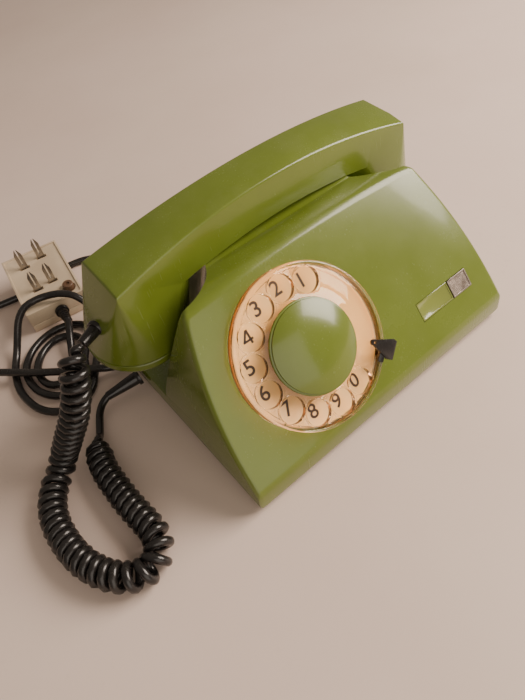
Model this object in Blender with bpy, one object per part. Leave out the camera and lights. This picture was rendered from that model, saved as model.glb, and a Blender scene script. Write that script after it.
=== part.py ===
"""Rotary desk telephone: wedge housing, dial, ringer, handset and cords as separate pieces.

Lengths below are millimetres, turned into metres where the meshes are made. Body
coordinates run x to the right, y back from the housing's front edge and z up from the table.
"""
import math

import bmesh
import bpy
from mathutils import Matrix, Vector

MM = 0.001
GAP = 0.3                    # clearance between neighbouring pieces
FRONT_SHIFT = 71.5           # front edge of the housing, measured from the part's origin

# housing
WALL = 2.6
HALF_WIDTH = 96.4            # at the front of the rim
REAR_HALF_WIDTH = 88.5       # at the back of the rim
FLOOR_HALF_WIDTH = 93.4      # at the back of the lower edge
DEPTH = 144.4
LOWER_EDGE = 2.2             # the feet lift the housing this far
RIM_TOP = 16.3
RIDGE_HALF_WIDTH = 79.3
RIDGE_Y = 58.4
RIDGE_Z = 89.7
FACE_BOW = 4.6               # the face's side edges bow outwards this far
RIDGE_ARCH = (2.4, 3.0)      # rise of the ridge in its middle, back and up
BACK_TOP = (52.0, 121.0, 97.5)
EDGE_RADIUS = 3.0
BADGE_LOW = (37.4, 17.0)     # recess for the trim, on the face: across, up from the rim
BADGE_HIGH = (79.0, 28.6)
BADGE_SPLIT = 63.4
SADDLE = ((60.0, 93.2), (80.0, 89.0), (117.0, 95.5), (119.0, 125.0), (60.0, 125.0))

# recesses for the ends of the handset: centre of the round wall at the floor and higher up
RECESS_RADIUS = 33.0
RECESS_FLOOR = 16.6
RECESS_LOW = (86.0, 119.5, 18.0)
RECESS_HIGH = (80.0, 95.0, 90.0)
RECESS_TOP = 130.0

# dial, in a frame on the face: x right, y up the face, z out of it
DIAL_CENTRE = (-33.0, 29.66, 53.23)
WHEEL_RADIUS = 43.0
WHEEL_LOW = 2.4
WHEEL_TOP = 5.35
HOLE_RADIUS = 7.0
HOLE_CIRCLE = 33.33
HOLE_PITCH = 360.0 / 14.0
FIRST_HOLE = 62.5
STOP_ANGLE = -30.0
CAP_RADIUS = 24.8
PLATE_RADIUS = 41.6
CASE_RADIUS = 33.4
CASE_DEPTH = 22.0
CASE_WALL = 1.3
SHAFT_RADIUS = 3.1
GEAR_MODULE = 0.8
GEAR_TEETH = 50
PINION_TEETH = 10
GOVERNOR_SIDE = 150.0        # direction of the governor from the dial's axis, degrees

# handset, in a frame tilted forwards with it: x along, y back, z out of its top
HANDSET_CENTRE = (0.0, 98.1, 102.6)
HANDSET_TILT = math.radians(10.0)
TOP_HALF_LENGTH = 98.3
END_HALF_WIDTH = 15.5
GRIP_HALF_WIDTH = 12.3
ARCH = 13.6
GRIP_THICKNESS = 20.0
BELL_X = 88.2
BELL_RADIUS = 28.0
SEAM = -44.0
CAP_LOW = -52.0
CAVITY_RADIUS = 23.5
CAVITY_STEP = 9.5
CAVITY_TOP_RADIUS = 19.5
CAVITY_DEPTH = 16.0
CORD_EXIT = (-108.4, -2.0, -26.5)
CORD_EXIT_END = (-120.1, -7.5, -25.2)

# cradle plungers and hook rocker
PLUNGER_X = 30.0
PLUNGER_LOW = -28.4
ROCKER_PIVOT = (0.0, 76.0, 72.0)
ROCKER_ARM = 23.5

# ringer
GONG_RADIUS = 19.0
GONG_LEFT = (12.0, 84.0)
GONG_RIGHT = (52.0, 56.0)
CLAPPER_PIVOT = (14.8, 45.4)
CLAPPER_BALL = (32.0, 70.0)

# cords
LINE_RADIUS = 2.5
STRAND_RADIUS = 2.3
COIL_RADIUS = 7.9
STORE_CENTRE = (-184.0, 242.0)   # the line cord's spare length, wound in a ring
STORE_RADIUS = 28.0
STORE_HEIGHT = 15.9

LINE_BACK_ROUTE = (
    (-58, 170.2, 9.5), (-58, 178, 8.6), (-58, 190, 5.2), (-57, 204, 2.9), (-53, 222, 2.6),
    (-50, 238, 2.6), (-53, 253, 2.6), (-64, 262, 2.6), (-80, 265, 2.6), (-97, 263, 2.6),
    (-114, 261, 2.6), (-131, 264, 2.6), (-148, 269, 2.6), (-158, 270, 2.6), (-166.3, 270, 2.6),
)
LINE_LOOP_ROUTE = (
    (-180.2, 207.6, 9), (-170, 201, 8.2), (-160, 192, 8), (-148, 179, 8), (-136, 167, 8),
    (-124, 156, 8), (-112, 147, 8), (-103.5, 144.5, 5), (-97.6, 150, 2.8), (-91, 161, 2.6),
    (-86, 176, 3), (-86, 188, 7), (-88.5, 197, 14.5), (-93, 204.5, 21.4), (-99.5, 211.5, 23.4),
    (-107.5, 217, 23.4), (-116, 219.6, 23.2), (-124, 218.6, 23), (-131.5, 215.3, 19.2),
    (-138.5, 210, 11.5), (-145.5, 202.5, 5), (-151.5, 193, 3), (-155.5, 181, 2.6),
    (-157, 167, 2.6), (-154, 150, 2.6), (-146, 138.5, 2.6), (-134, 134.5, 2.6),
    (-122, 138.5, 2.6), (-113.5, 150, 2.6), (-104, 164, 2.6), (-97, 178, 2.6),
    (-97, 193, 2.6), (-105, 203, 2.6), (-117, 206.5, 2.6), (-130, 203.5, 2.6),
    (-141, 195, 2.6), (-148, 182, 2.6), (-148.5, 166, 2.6), (-142, 152, 2.6),
    (-131, 146, 2.6), (-121, 152, 2.6), (-113, 165, 2.6), (-106, 178, 2.6),
    (-108, 191, 2.6), (-118.5, 197.5, 2.6), (-131, 193, 2.6), (-140, 182, 2.6),
    (-141.5, 169, 2.6), (-134, 158.5, 2.6), (-125.5, 162, 2.6), (-119.5, 171, 3),
    (-115, 181, 6), (-109.6, 189, 9.2), (-106.6, 195.2, 10.6),
)
CURLY_ROUTE = (
    (-121.2, 94.6, 76.5), (-126, 91.8, 76), (-130, 88.5, 72), (-133, 86.5, 65.5),
    (-136.5, 85.5, 58), (-140.5, 86, 49.5), (-145, 88.5, 40), (-149.5, 91.3, 31),
    (-153.5, 94, 22.5), (-158, 95.8, 14.5), (-163.5, 93.5, 9.2), (-170, 88, 8), (-176, 79, 8),
    (-179.5, 68, 8), (-180.3, 56, 8), (-179, 44, 8), (-175.5, 33, 8), (-170, 23, 8),
    (-163, 15.5, 8), (-155, 12, 8), (-148.8, 16, 8), (-147.4, 26, 8), (-147.8, 37, 8),
    (-147.2, 49, 8), (-146, 62, 8), (-145, 75, 8), (-142.5, 87, 8), (-137.5, 98, 8),
)
TAIL_ROUTE = (
    (-136.2, 101.1, 4.4), (-133.5, 106.5, 3.4), (-130.5, 112.5, 3), (-127.5, 117, 3.8),
    (-123.5, 120.2, 5.2), (-119.2, 121.6, 6.6),
)

# plug, in a frame on its lower face: x across, y away from the cord
PLUG_PLACE = (-105.0, 214.6, 0.4)
PLUG_TURN = math.radians(-9.2)
PLUG_TILT = math.radians(7.4)
PLUG_SIZE = (42.0, 61.0, 18.0)
BLADE_PLACES = ((-7.5, 46.5), (6.5, 50.5), (5.5, 22.0), (-6.0, 20.0))
BLADE_SIZE = (1.2, 6.4, 17.0)

GREEN = (0.150, 0.200, 0.028)
BLACK = (0.012, 0.011, 0.011)
STEEL = (0.55, 0.55, 0.56)
BRASS = (0.72, 0.52, 0.22)
CREAM = (0.80, 0.58, 0.36)
IVORY = (0.72, 0.60, 0.45)


def clear_scene():
    for item in list(bpy.data.objects):
        bpy.data.objects.remove(item, do_unlink=True)


def material(name, colour, roughness, metallic=0.0):
    made = bpy.data.materials.new(name)
    made.use_nodes = True
    shader = made.node_tree.nodes["Principled BSDF"]
    shader.inputs["Base Color"].default_value = (*colour, 1.0)
    shader.inputs["Roughness"].default_value = roughness
    shader.inputs["Metallic"].default_value = metallic
    return made


def body_point(x, y, z):
    """A point in body coordinates, in metres from the part's origin."""
    return Vector((x, y - FRONT_SHIFT, z)) * MM


def frame_at(origin, x_axis, z_axis):
    """Matrix whose z runs along z_axis and whose x is x_axis."""
    z_axis = Vector(z_axis).normalized()
    x_axis = Vector(x_axis).normalized()
    y_axis = z_axis.cross(x_axis)
    turn = Matrix((x_axis, y_axis, z_axis)).transposed().to_4x4()
    return Matrix.Translation(body_point(*origin)) @ turn


FACE_UP = Vector((0.0, RIDGE_Y, RIDGE_Z - RIM_TOP)).normalized()
FACE_OUT = Vector((1.0, 0.0, 0.0)).cross(FACE_UP)
FACE = frame_at((0.0, 0.0, RIM_TOP), (1, 0, 0), FACE_OUT)
LEVEL = frame_at((0, 0, 0), (1, 0, 0), (0, 0, 1))
DIAL = frame_at(DIAL_CENTRE, (1, 0, 0), FACE_OUT)
HANDSET_UP = Vector((0.0, -math.sin(HANDSET_TILT), math.cos(HANDSET_TILT)))
HANDSET = frame_at(HANDSET_CENTRE, (1, 0, 0), HANDSET_UP)


def new_object(name, mesh_data, paint, frame):
    """Link an object in the given frame, faces out, flat where its edges are sharp."""
    mesh = bpy.data.meshes.new(name)
    bmesh.ops.recalc_face_normals(mesh_data, faces=mesh_data.faces)
    mesh_data.to_mesh(mesh)
    mesh_data.free()
    for polygon in mesh.polygons:
        polygon.use_smooth = True
    mesh.set_sharp_from_angle(angle=math.radians(32))
    mesh.materials.append(paint)
    made = bpy.data.objects.new(name, mesh)
    made.matrix_world = frame
    bpy.context.collection.objects.link(made)
    return made


def hull(name, points, paint, frame=LEVEL):
    data = bmesh.new()
    for point in points:
        data.verts.new(Vector(point) * MM)
    bmesh.ops.convex_hull(data, input=data.verts)
    loose = [vert for vert in data.verts if not vert.link_faces]
    bmesh.ops.delete(data, geom=loose, context="VERTS")
    limit = math.radians(2)
    bmesh.ops.dissolve_limit(data, angle_limit=limit, verts=data.verts, edges=data.edges)
    return new_object(name, data, paint, frame)


def skin(name, rings, paint, frame=LEVEL):
    """Close a row of matching rings into one solid."""
    data = bmesh.new()
    rows = [[data.verts.new(Vector(point) * MM) for point in ring] for ring in rings]
    for low, high in zip(rows, rows[1:]):
        for index in range(len(low)):
            after = (index + 1) % len(low)
            data.faces.new((low[index], low[after], high[after], high[index]))
    data.faces.new(rows[0][::-1])
    data.faces.new(rows[-1])
    return new_object(name, data, paint, frame)


def prism(name, outline, low, high, paint, frame=LEVEL):
    rings = [[(x, y, z) for x, y in outline] for z in (low, high)]
    return skin(name, rings, paint, frame)


def block(name, low, high, paint, frame=LEVEL):
    outline = ((low[0], low[1]), (high[0], low[1]), (high[0], high[1]), (low[0], high[1]))
    return prism(name, outline, low[2], high[2], paint, frame)


def turned(name, profile, paint, frame=LEVEL, segments=24):
    """Turn a closed outline of (radius, height) points about z."""
    data = bmesh.new()
    verts = [data.verts.new((r * MM, 0.0, z * MM)) for r, z in profile]
    edges = [data.edges.new((verts[i], verts[(i + 1) % len(verts)])) for i in range(len(verts))]
    bmesh.ops.spin(
        data, geom=verts + edges, cent=(0, 0, 0), axis=(0, 0, 1),
        angle=math.tau, steps=segments, use_merge=True,
    )
    bmesh.ops.remove_doubles(data, verts=data.verts, dist=1e-6)
    bmesh.ops.dissolve_degenerate(data, edges=data.edges, dist=1e-6)
    return new_object(name, data, paint, frame)


def disc_stack(name, steps, paint, frame=LEVEL, segments=24):
    """A turned solid from (radius, low, high) steps, stacked along z."""
    profile = [(0.0, steps[0][1])]
    for radius, low, high in steps:
        profile += [(radius, low), (radius, high)]
    profile.append((0.0, steps[-1][2]))
    return turned(name, profile, paint, frame, segments)


def ring_of_points(radius, count, start=0.0):
    turn = math.tau / count
    return [(radius * math.cos(start + turn * i), radius * math.sin(start + turn * i))
            for i in range(count)]


def combine(target, other, operation):
    """Boolean with another object, which is kept only as a guide."""
    other.hide_render = True
    other.display_type = "WIRE"
    step = target.modifiers.new(operation.lower(), "BOOLEAN")
    step.operation = operation
    step.solver = "EXACT"
    step.object = other


def round_edges(target, width, segments=2):
    step = target.modifiers.new("edges", "BEVEL")
    step.width = width * MM
    step.segments = segments
    step.limit_method = "ANGLE"
    step.angle_limit = math.radians(28)


def smooth_route(points, spacing, lowest):
    """Points at even spacing on a smooth curve through the route, none below the lowest."""
    route = [body_point(*point) for point in points]
    ends = [2 * route[0] - route[1]] + route + [2 * route[-1] - route[-2]]
    fine = []
    steps = 24
    for before, here, after, beyond in zip(ends, ends[1:], ends[2:], ends[3:]):
        for step in range(steps):
            t = step / steps
            fine.append(0.5 * (
                2 * here + (after - before) * t
                + (2 * before - 5 * here + 4 * after - beyond) * t ** 2
                + (3 * here - before - 3 * after + beyond) * t ** 3
            ))
    fine.append(route[-1])
    lengths = [0.0]
    for first, second in zip(fine, fine[1:]):
        lengths.append(lengths[-1] + (second - first).length)
    count = max(2, round(lengths[-1] / (spacing * MM)))
    picked = []
    index = 0
    for step in range(count + 1):
        goal = lengths[-1] * step / count
        while index < len(fine) - 2 and lengths[index + 1] < goal:
            index += 1
        share = (goal - lengths[index]) / (lengths[index + 1] - lengths[index])
        place = fine[index].lerp(fine[index + 1], share)
        place.z = max(place.z, lowest * MM)
        picked.append(place)
    return picked


def cord_tube(name, points, radius, spacing, paint):
    data = bpy.data.curves.new(name, "CURVE")
    data.dimensions = "3D"
    data.bevel_depth = radius * MM
    data.bevel_resolution = 2
    data.use_fill_caps = True
    data.materials.append(paint)
    spline = data.splines.new("POLY")
    picked = smooth_route(points, spacing, radius + 0.05)
    spline.points.add(len(picked) - 1)
    for place, point in zip(spline.points, picked):
        place.co = (*point, 1.0)
    made = bpy.data.objects.new(name, data)
    bpy.context.collection.objects.link(made)
    return made


def sleeve(name, start, end, wide, narrow, paint):
    """Tapered strain relief with a collar at its wide end."""
    start = Vector(start)
    along = Vector(end) - start
    side = Vector((0, 0, 1)).cross(along)
    frame = frame_at(start, side, along)
    length = along.length
    steps = ((wide + 1.2, 0.0, 2.5), (wide, 2.5, 5.0))
    profile = [(0.0, 0.0)]
    for radius, low, high in steps:
        profile += [(radius, low), (radius, high)]
    profile += [(narrow, length), (0.0, length)]
    return turned(name, profile, paint, frame, 16)


def mirror_x(points):
    return [(-x, y, z) for x, y, z in points]


# ---------------------------------------------------------------- housing

def wedge_points(inset):
    """Corner points of the wedge, moved inwards by a wall thickness."""
    bottom = LOWER_EDGE if inset == 0 else -5.0
    out_y = -FACE_OUT.y * inset
    out_z = -FACE_OUT.z * inset
    rear = DEPTH - inset
    side = [
        (HALF_WIDTH - inset, inset, bottom),
        (HALF_WIDTH - inset, inset, RIM_TOP),
        (FLOOR_HALF_WIDTH - inset, rear, bottom),
        (REAR_HALF_WIDTH - inset, rear, RIM_TOP),
        (BACK_TOP[0] - inset, BACK_TOP[1] - inset, BACK_TOP[2] - inset),
    ]
    for step in range(1, 6):
        share = step / 5
        straight = HALF_WIDTH + (RIDGE_HALF_WIDTH - HALF_WIDTH) * share
        width = straight + 4 * FACE_BOW * share * (1 - share)
        height = RIM_TOP + (RIDGE_Z - RIM_TOP) * share
        side.append((width - inset, RIDGE_Y * share + out_y, height + out_z))
    for step in range(4):
        across = step / 4
        rise = 1 - across ** 2
        y = RIDGE_Y + RIDGE_ARCH[0] * rise + out_y
        z = RIDGE_Z + RIDGE_ARCH[1] * rise + out_z
        side.append((across * RIDGE_HALF_WIDTH, y, z))
    return side + mirror_x(side)


def recess_cutter(name, side, grow, paint):
    """Leaning round-ended space for one end of the handset, open at the side and the back."""
    radius = RECESS_RADIUS + grow
    plan = [(radius, 80.0)]
    for step in range(8):
        angle = math.radians(90 * step / 7)
        plan.append((radius * math.cos(angle), -radius * math.sin(angle)))
    plan += [(-60.0, -radius), (-60.0, 80.0)]
    rings = []
    for z in (RECESS_FLOOR - grow, RECESS_TOP):
        share = (z - RECESS_LOW[2]) / (RECESS_HIGH[2] - RECESS_LOW[2])
        x = -(RECESS_LOW[0] + (RECESS_HIGH[0] - RECESS_LOW[0]) * share)
        y = RECESS_LOW[1] + (RECESS_HIGH[1] - RECESS_LOW[1]) * share
        ring = [(side * (x + dx), y + dy, z) for dx, dy in plan]
        rings.append(ring)
    return skin(name, rings, paint)


def saddle_cutter(name, drop, paint):
    rings = [[(x, y, z - drop) for y, z in SADDLE] for x in (-110.0, 110.0)]
    return skin(name, rings, paint)


def on_handset(x, y, z):
    """A point of the handset's frame in body coordinates."""
    point = HANDSET @ (Vector((x, y, z)) * MM)
    return (point.x / MM, point.y / MM + FRONT_SHIFT, point.z / MM)


def make_housing(paint):
    housing = hull("housing", wedge_points(0.0), paint)
    round_edges(housing, EDGE_RADIUS)
    combine(housing, saddle_cutter("saddle_cut", 0.0, paint), "DIFFERENCE")
    cavity = hull("cavity_cut", wedge_points(WALL), paint)
    combine(cavity, saddle_cutter("saddle_wall", WALL, paint), "DIFFERENCE")
    for side, word in ((1, "left"), (-1, "right")):
        combine(housing, recess_cutter("recess_cut_" + word, side, 0.0, paint), "DIFFERENCE")
        combine(cavity, recess_cutter("recess_wall_" + word, side, WALL, paint), "DIFFERENCE")
    combine(housing, cavity, "DIFFERENCE")
    hole = disc_stack("dial_hole_cut", ((CASE_RADIUS + 0.5, -9.0, 6.0),), paint, DIAL, 40)
    combine(housing, hole, "DIFFERENCE")
    for side, word in ((-1, "left"), (1, "right")):
        frame = HANDSET @ Matrix.Translation(Vector((side * PLUNGER_X, 0.0, 0.0)) * MM)
        bore = disc_stack("plunger_hole_" + word, ((3.5, -16.5, -4.0),), paint, frame, 16)
        combine(housing, bore, "DIFFERENCE")
    badge = block("badge_cut", (*BADGE_LOW, -1.0), (*BADGE_HIGH, 6.0), paint, FACE)
    combine(housing, badge, "DIFFERENCE")


def make_badge(strip_paint, insert_paint):
    low = (BADGE_LOW[0] + GAP, BADGE_LOW[1] + GAP, -0.7)
    high = (BADGE_SPLIT - GAP, BADGE_HIGH[1] - GAP, -0.1)
    block("badge_strip", low, high, strip_paint, FACE)
    low = (BADGE_SPLIT, BADGE_LOW[1] + GAP, -0.7)
    high = (BADGE_HIGH[0] - GAP, BADGE_HIGH[1] - GAP, 0.7)
    block("badge_insert", low, high, insert_paint, FACE)


def make_base(plate_paint, rubber, screw_paint):
    inside = WALL + 0.5
    corner = 6.0
    outline = []
    front = HALF_WIDTH - inside
    rear = REAR_HALF_WIDTH - WALL
    for x, y in ((-front, inside), (front, inside), (rear, DEPTH - inside), (-rear, DEPTH - inside)):
        inward_x = -corner if x > 0 else corner
        inward_y = corner if y < DEPTH / 2 else -corner
        first, second = (x + inward_x, y), (x, y + inward_y)
        outline += [first, second] if (x > 0) == (y < DEPTH / 2) else [second, first]
    plate = prism("base_plate", outline, 2.9, 4.9, plate_paint)
    for index, (x, y) in enumerate(((0.0, 14.0), (0.0, 131.0))):
        frame = frame_at((x, y, 0.0), (1, 0, 0), (0, 0, 1))
        hole = disc_stack("base_screw_hole_%d" % index, ((1.6, 0.0, 8.0),), screw_paint, frame, 12)
        combine(plate, hole, "DIFFERENCE")
        name = "base_screw_front" if index == 0 else "base_screw_rear"
        disc_stack(name, ((3.2, 1.2, 2.6), (1.2, 2.6, 12.0)), screw_paint, frame, 12)
    places = {"front_left": (-78, 14), "front_right": (78, 14),
              "rear_left": (-76, 128), "rear_right": (76, 128)}
    for word, (x, y) in places.items():
        frame = frame_at((x, y, 0.0), (1, 0, 0), (0, 0, 1))
        disc_stack("foot_" + word, ((7.0, 0.0, 1.2), (7.6, 1.2, 2.6)), rubber, frame, 20)


# ---------------------------------------------------------------- dial

def gear_outline(teeth, module):
    """Straight-flanked teeth, thinner than half the pitch so that a pair runs freely."""
    pitch_radius = module * teeth / 2
    root = pitch_radius - 1.15 * module
    tip = pitch_radius + 0.85 * module
    step = math.tau / teeth
    outline = []
    for tooth in range(teeth):
        middle = tooth * step
        for radius, half in ((root, 0.31), (tip, 0.12), (tip, -0.12), (root, -0.31)):
            angle = middle - half * step
            outline.append((radius * math.cos(angle), radius * math.sin(angle)))
    return outline


def make_dial(clear, green, cream, black, steel, brass):
    turned("number_plate", ((4.2, GAP), (PLATE_RADIUS, GAP), (PLATE_RADIUS, 1.1), (4.2, 1.1)),
           cream, DIAL, 48)
    depth = -CASE_DEPTH
    inner = CASE_RADIUS - CASE_WALL
    turned("dial_case", ((4.0, depth), (CASE_RADIUS, depth), (CASE_RADIUS, 0.0), (inner, 0.0),
                         (inner, depth + CASE_WALL), (4.0, depth + CASE_WALL)), steel, DIAL, 32)
    wheel = turned("finger_wheel", (
        (SHAFT_RADIUS + GAP, WHEEL_LOW), (PLATE_RADIUS + GAP, WHEEL_LOW), (PLATE_RADIUS + GAP, 0.8),
        (WHEEL_RADIUS, 0.8), (WHEEL_RADIUS, 4.3), (WHEEL_RADIUS - 0.9, WHEEL_TOP),
        (SHAFT_RADIUS + GAP, WHEEL_TOP)), clear, DIAL, 64)
    cutter = bmesh.new()
    for hole in range(10):
        angle = math.radians(FIRST_HOLE + HOLE_PITCH * hole)
        centre = Vector((math.cos(angle), math.sin(angle), 0.0)) * HOLE_CIRCLE * MM
        place = Matrix.Translation(centre + Vector((0, 0, WHEEL_TOP * MM)))
        bmesh.ops.create_cone(
            cutter, cap_ends=True, segments=20, radius1=HOLE_RADIUS * MM,
            radius2=HOLE_RADIUS * MM, depth=2 * WHEEL_TOP * MM, matrix=place,
        )
    combine(wheel, new_object("finger_holes", cutter, clear, DIAL), "DIFFERENCE")
    turned("centre_cap", (
        (0.0, 11.0), (14.0, 9.9), (21.0, 7.6), (22.6, WHEEL_TOP + GAP),
        (CAP_RADIUS, WHEEL_TOP + GAP), (CAP_RADIUS, 6.6), (23.6, 8.1), (20.0, 9.7),
        (14.0, 11.2), (7.0, 12.0), (0.0, 12.3)), green, DIAL, 40)
    disc_stack("dial_shaft", ((SHAFT_RADIUS, depth + 0.4, WHEEL_TOP + GAP),
                              (8.0, WHEEL_TOP + GAP, 7.0), (2.4, 7.0, 9.0)), steel, DIAL, 20)
    gear = prism("main_gear", gear_outline(GEAR_TEETH, GEAR_MODULE), -9.0, -6.6, brass, DIAL)
    bore = disc_stack("main_gear_bore", ((SHAFT_RADIUS + GAP, -12.0, -4.0),), brass, DIAL, 20)
    combine(gear, bore, "DIFFERENCE")
    make_governor(steel, brass)
    make_finger_stop(black)


def governor_frame():
    """On the governor's axis, turned so that a tooth space faces the main gear's tooth."""
    centre_distance = GEAR_MODULE * (GEAR_TEETH + PINION_TEETH) / 2
    tooth = round(GOVERNOR_SIDE / 360 * GEAR_TEETH) * math.tau / GEAR_TEETH
    offset = Vector((math.cos(tooth), math.sin(tooth), 0.0)) * centre_distance * MM
    facing = tooth + math.pi - math.pi / PINION_TEETH
    return DIAL @ Matrix.Translation(offset) @ Matrix.Rotation(facing, 4, "Z")


def make_governor(steel, brass):
    frame = governor_frame()
    prism("governor_pinion", gear_outline(PINION_TEETH, GEAR_MODULE), -9.2, -6.4, brass, frame)
    disc_stack("governor_shaft", ((1.1, -20.2, -15.2), (5.2, -15.2, -13.0), (1.1, -13.0, -9.5)),
               steel, frame, 16)
    turned("governor_drum", ((1.6, -19.8), (6.6, -19.8), (6.6, -15.6), (5.6, -15.6),
                             (5.6, -19.0), (1.6, -19.0)), steel, frame, 16)


def make_finger_stop(black):
    frame = DIAL @ Matrix.Rotation(math.radians(STOP_ANGLE), 4, "Z")
    side = [(32.0, 6.0), (34.5, 6.0), (43.6, 6.3), (43.6, GAP), (47.6, GAP), (47.6, 8.6),
            (46.4, 9.6), (35.0, 9.0), (31.6, 7.6)]
    rings = []
    for sign in (-1, 1):
        rings.append([(r, sign * (1.3 + 3.9 * (r - 31.6) / 16.0), z) for r, z in side])
    skin("finger_stop", rings, black, frame)


# ---------------------------------------------------------------- handset

def arch_height(x):
    return ARCH * (1 - (x / TOP_HALF_LENGTH) ** 2)


def grip_half_width(x):
    share = 1 - (x / TOP_HALF_LENGTH) ** 2
    return END_HALF_WIDTH + (GRIP_HALF_WIDTH - END_HALF_WIDTH) * share


def make_handset(green):
    rings = []
    stations = 16
    for step in range(stations + 1):
        x = TOP_HALF_LENGTH * (2 * step / stations - 1)
        top = arch_height(x)
        low = top - GRIP_THICKNESS
        wide = grip_half_width(x)
        rings.append([(x, -wide, top), (x, wide, top), (x, wide + 1.6, low + 3.0),
                      (x, wide - 1.5, low), (x, 1.5 - wide, low), (x, -wide - 1.6, low + 3.0)])
    shell = skin("handset_shell", rings, green, HANDSET)
    for sign, word in ((-1, "mouth"), (1, "ear")):
        points = []
        for x in (TOP_HALF_LENGTH, 80.0, 64.0):
            wide = grip_half_width(x)
            points += [(sign * x, side * wide, arch_height(x) - 0.2) for side in (-1, 1)]
        for x, y in ring_of_points(BELL_RADIUS, 32):
            points.append((sign * BELL_X + x, y, SEAM))
        bell = hull("bell_" + word, points, green, HANDSET)
        combine(shell, bell, "UNION")
        frame = HANDSET @ Matrix.Translation(Vector((sign * BELL_X, 0.0, 0.0)) * MM)
        bore = disc_stack("bell_bore_" + word, (
            (CAVITY_RADIUS, SEAM - 5, SEAM + CAVITY_STEP),
            (CAVITY_TOP_RADIUS, SEAM + CAVITY_STEP, SEAM + CAVITY_DEPTH)), green, frame, 28)
        combine(shell, bore, "DIFFERENCE")
    start, end = on_handset(*CORD_EXIT), on_handset(*CORD_EXIT_END)
    along = Vector(end) - Vector(start)
    frame = frame_at(start, Vector((0, 0, 1)).cross(along), along)
    pocket = disc_stack("cord_exit_cut", ((5.0, -GAP, 8.0),), green, frame, 20)
    combine(shell, pocket, "DIFFERENCE")


def make_caps_and_capsules(green, steel):
    for sign, cap, capsule in ((-1, "mouthpiece_cap", "transmitter_capsule"),
                               (1, "earpiece_cap", "receiver_capsule")):
        frame = HANDSET @ Matrix.Translation(Vector((sign * BELL_X, 0.0, 0.0)) * MM)
        high = SEAM - GAP
        cover = turned(cap, (
            (0.0, CAP_LOW + 2.4), (18.0, CAP_LOW + 2.0), (21.0, high), (BELL_RADIUS, high),
            (BELL_RADIUS, high - 2.5), (26.6, CAP_LOW + 1.2), (23.5, CAP_LOW),
            (19.0, CAP_LOW), (0.0, CAP_LOW + 0.8)), green, frame, 32)
        holes = bmesh.new()
        spots = [(0.0, 0.0)] + ring_of_points(7.0, 6)
        for x, y in spots:
            place = Matrix.Translation(Vector((x, y, CAP_LOW + 1.5)) * MM)
            bmesh.ops.create_cone(holes, cap_ends=True, segments=8, radius1=1.4 * MM,
                                  radius2=1.4 * MM, depth=8 * MM, matrix=place)
        combine(cover, new_object(cap + "_holes", holes, green, frame), "DIFFERENCE")
        disc_stack(capsule, ((21.5, SEAM + 1.0, SEAM + 9.0), (18.5, SEAM + 9.0, SEAM + 15.0)),
                   steel, frame, 24)


# ---------------------------------------------------------------- cradle switch and ringer

def make_cradle_switch(black, steel):
    for side, word in ((-1, "left"), (1, "right")):
        frame = HANDSET @ Matrix.Translation(Vector((side * PLUNGER_X, 0.0, 0.0)) * MM)
        top = arch_height(PLUNGER_X) - GRIP_THICKNESS - GAP
        disc_stack("plunger_" + word, ((3.0, PLUNGER_LOW, top - 0.8), (2.5, top - 0.8, top)),
                   black, frame, 16)
    pivot_x, pivot_y, pivot_z = ROCKER_PIVOT
    reach = pivot_y + ROCKER_ARM
    outer, inner = PLUNGER_X + 4.5, PLUNGER_X + 1.5
    low, high = pivot_z - 3.4, pivot_z + 3.4
    outline = [(-outer, pivot_y - 3.5), (-inner, pivot_y - 3.5), (-inner, reach - 4.0),
               (inner, reach - 4.0), (inner, pivot_y - 3.5), (outer, pivot_y - 3.5),
               (outer, reach + 4.0), (-outer, reach + 4.0)]
    rocker = prism("hook_rocker", outline, low, high - 1.9, steel)
    pin_frame = frame_at(ROCKER_PIVOT, (0, 1, 0), (1, 0, 0))
    hole = disc_stack("rocker_hole", ((1.6, -45.0, 45.0),), steel, pin_frame, 12)
    combine(rocker, hole, "DIFFERENCE")
    disc_stack("hook_pin", ((1.3, -40.0, 40.0),), steel, pin_frame, 12)
    for side, word in ((-1, "left"), (1, "right")):
        near, far = sorted((side * (outer + 0.6), side * (outer + 2.4)))
        lug = block("hook_bracket_" + word, (near, pivot_y - 4.0, 5.2),
                    (far, pivot_y + 4.0, pivot_z + 4.5), steel)
        bore = disc_stack("bracket_hole_" + word, ((1.6, -45.0, 45.0),), steel, pin_frame, 12)
        combine(lug, bore, "DIFFERENCE")
    block("switch_block", (-12.0, 108.0, 40.0), (12.0, 118.0, 64.0), black)


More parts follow.
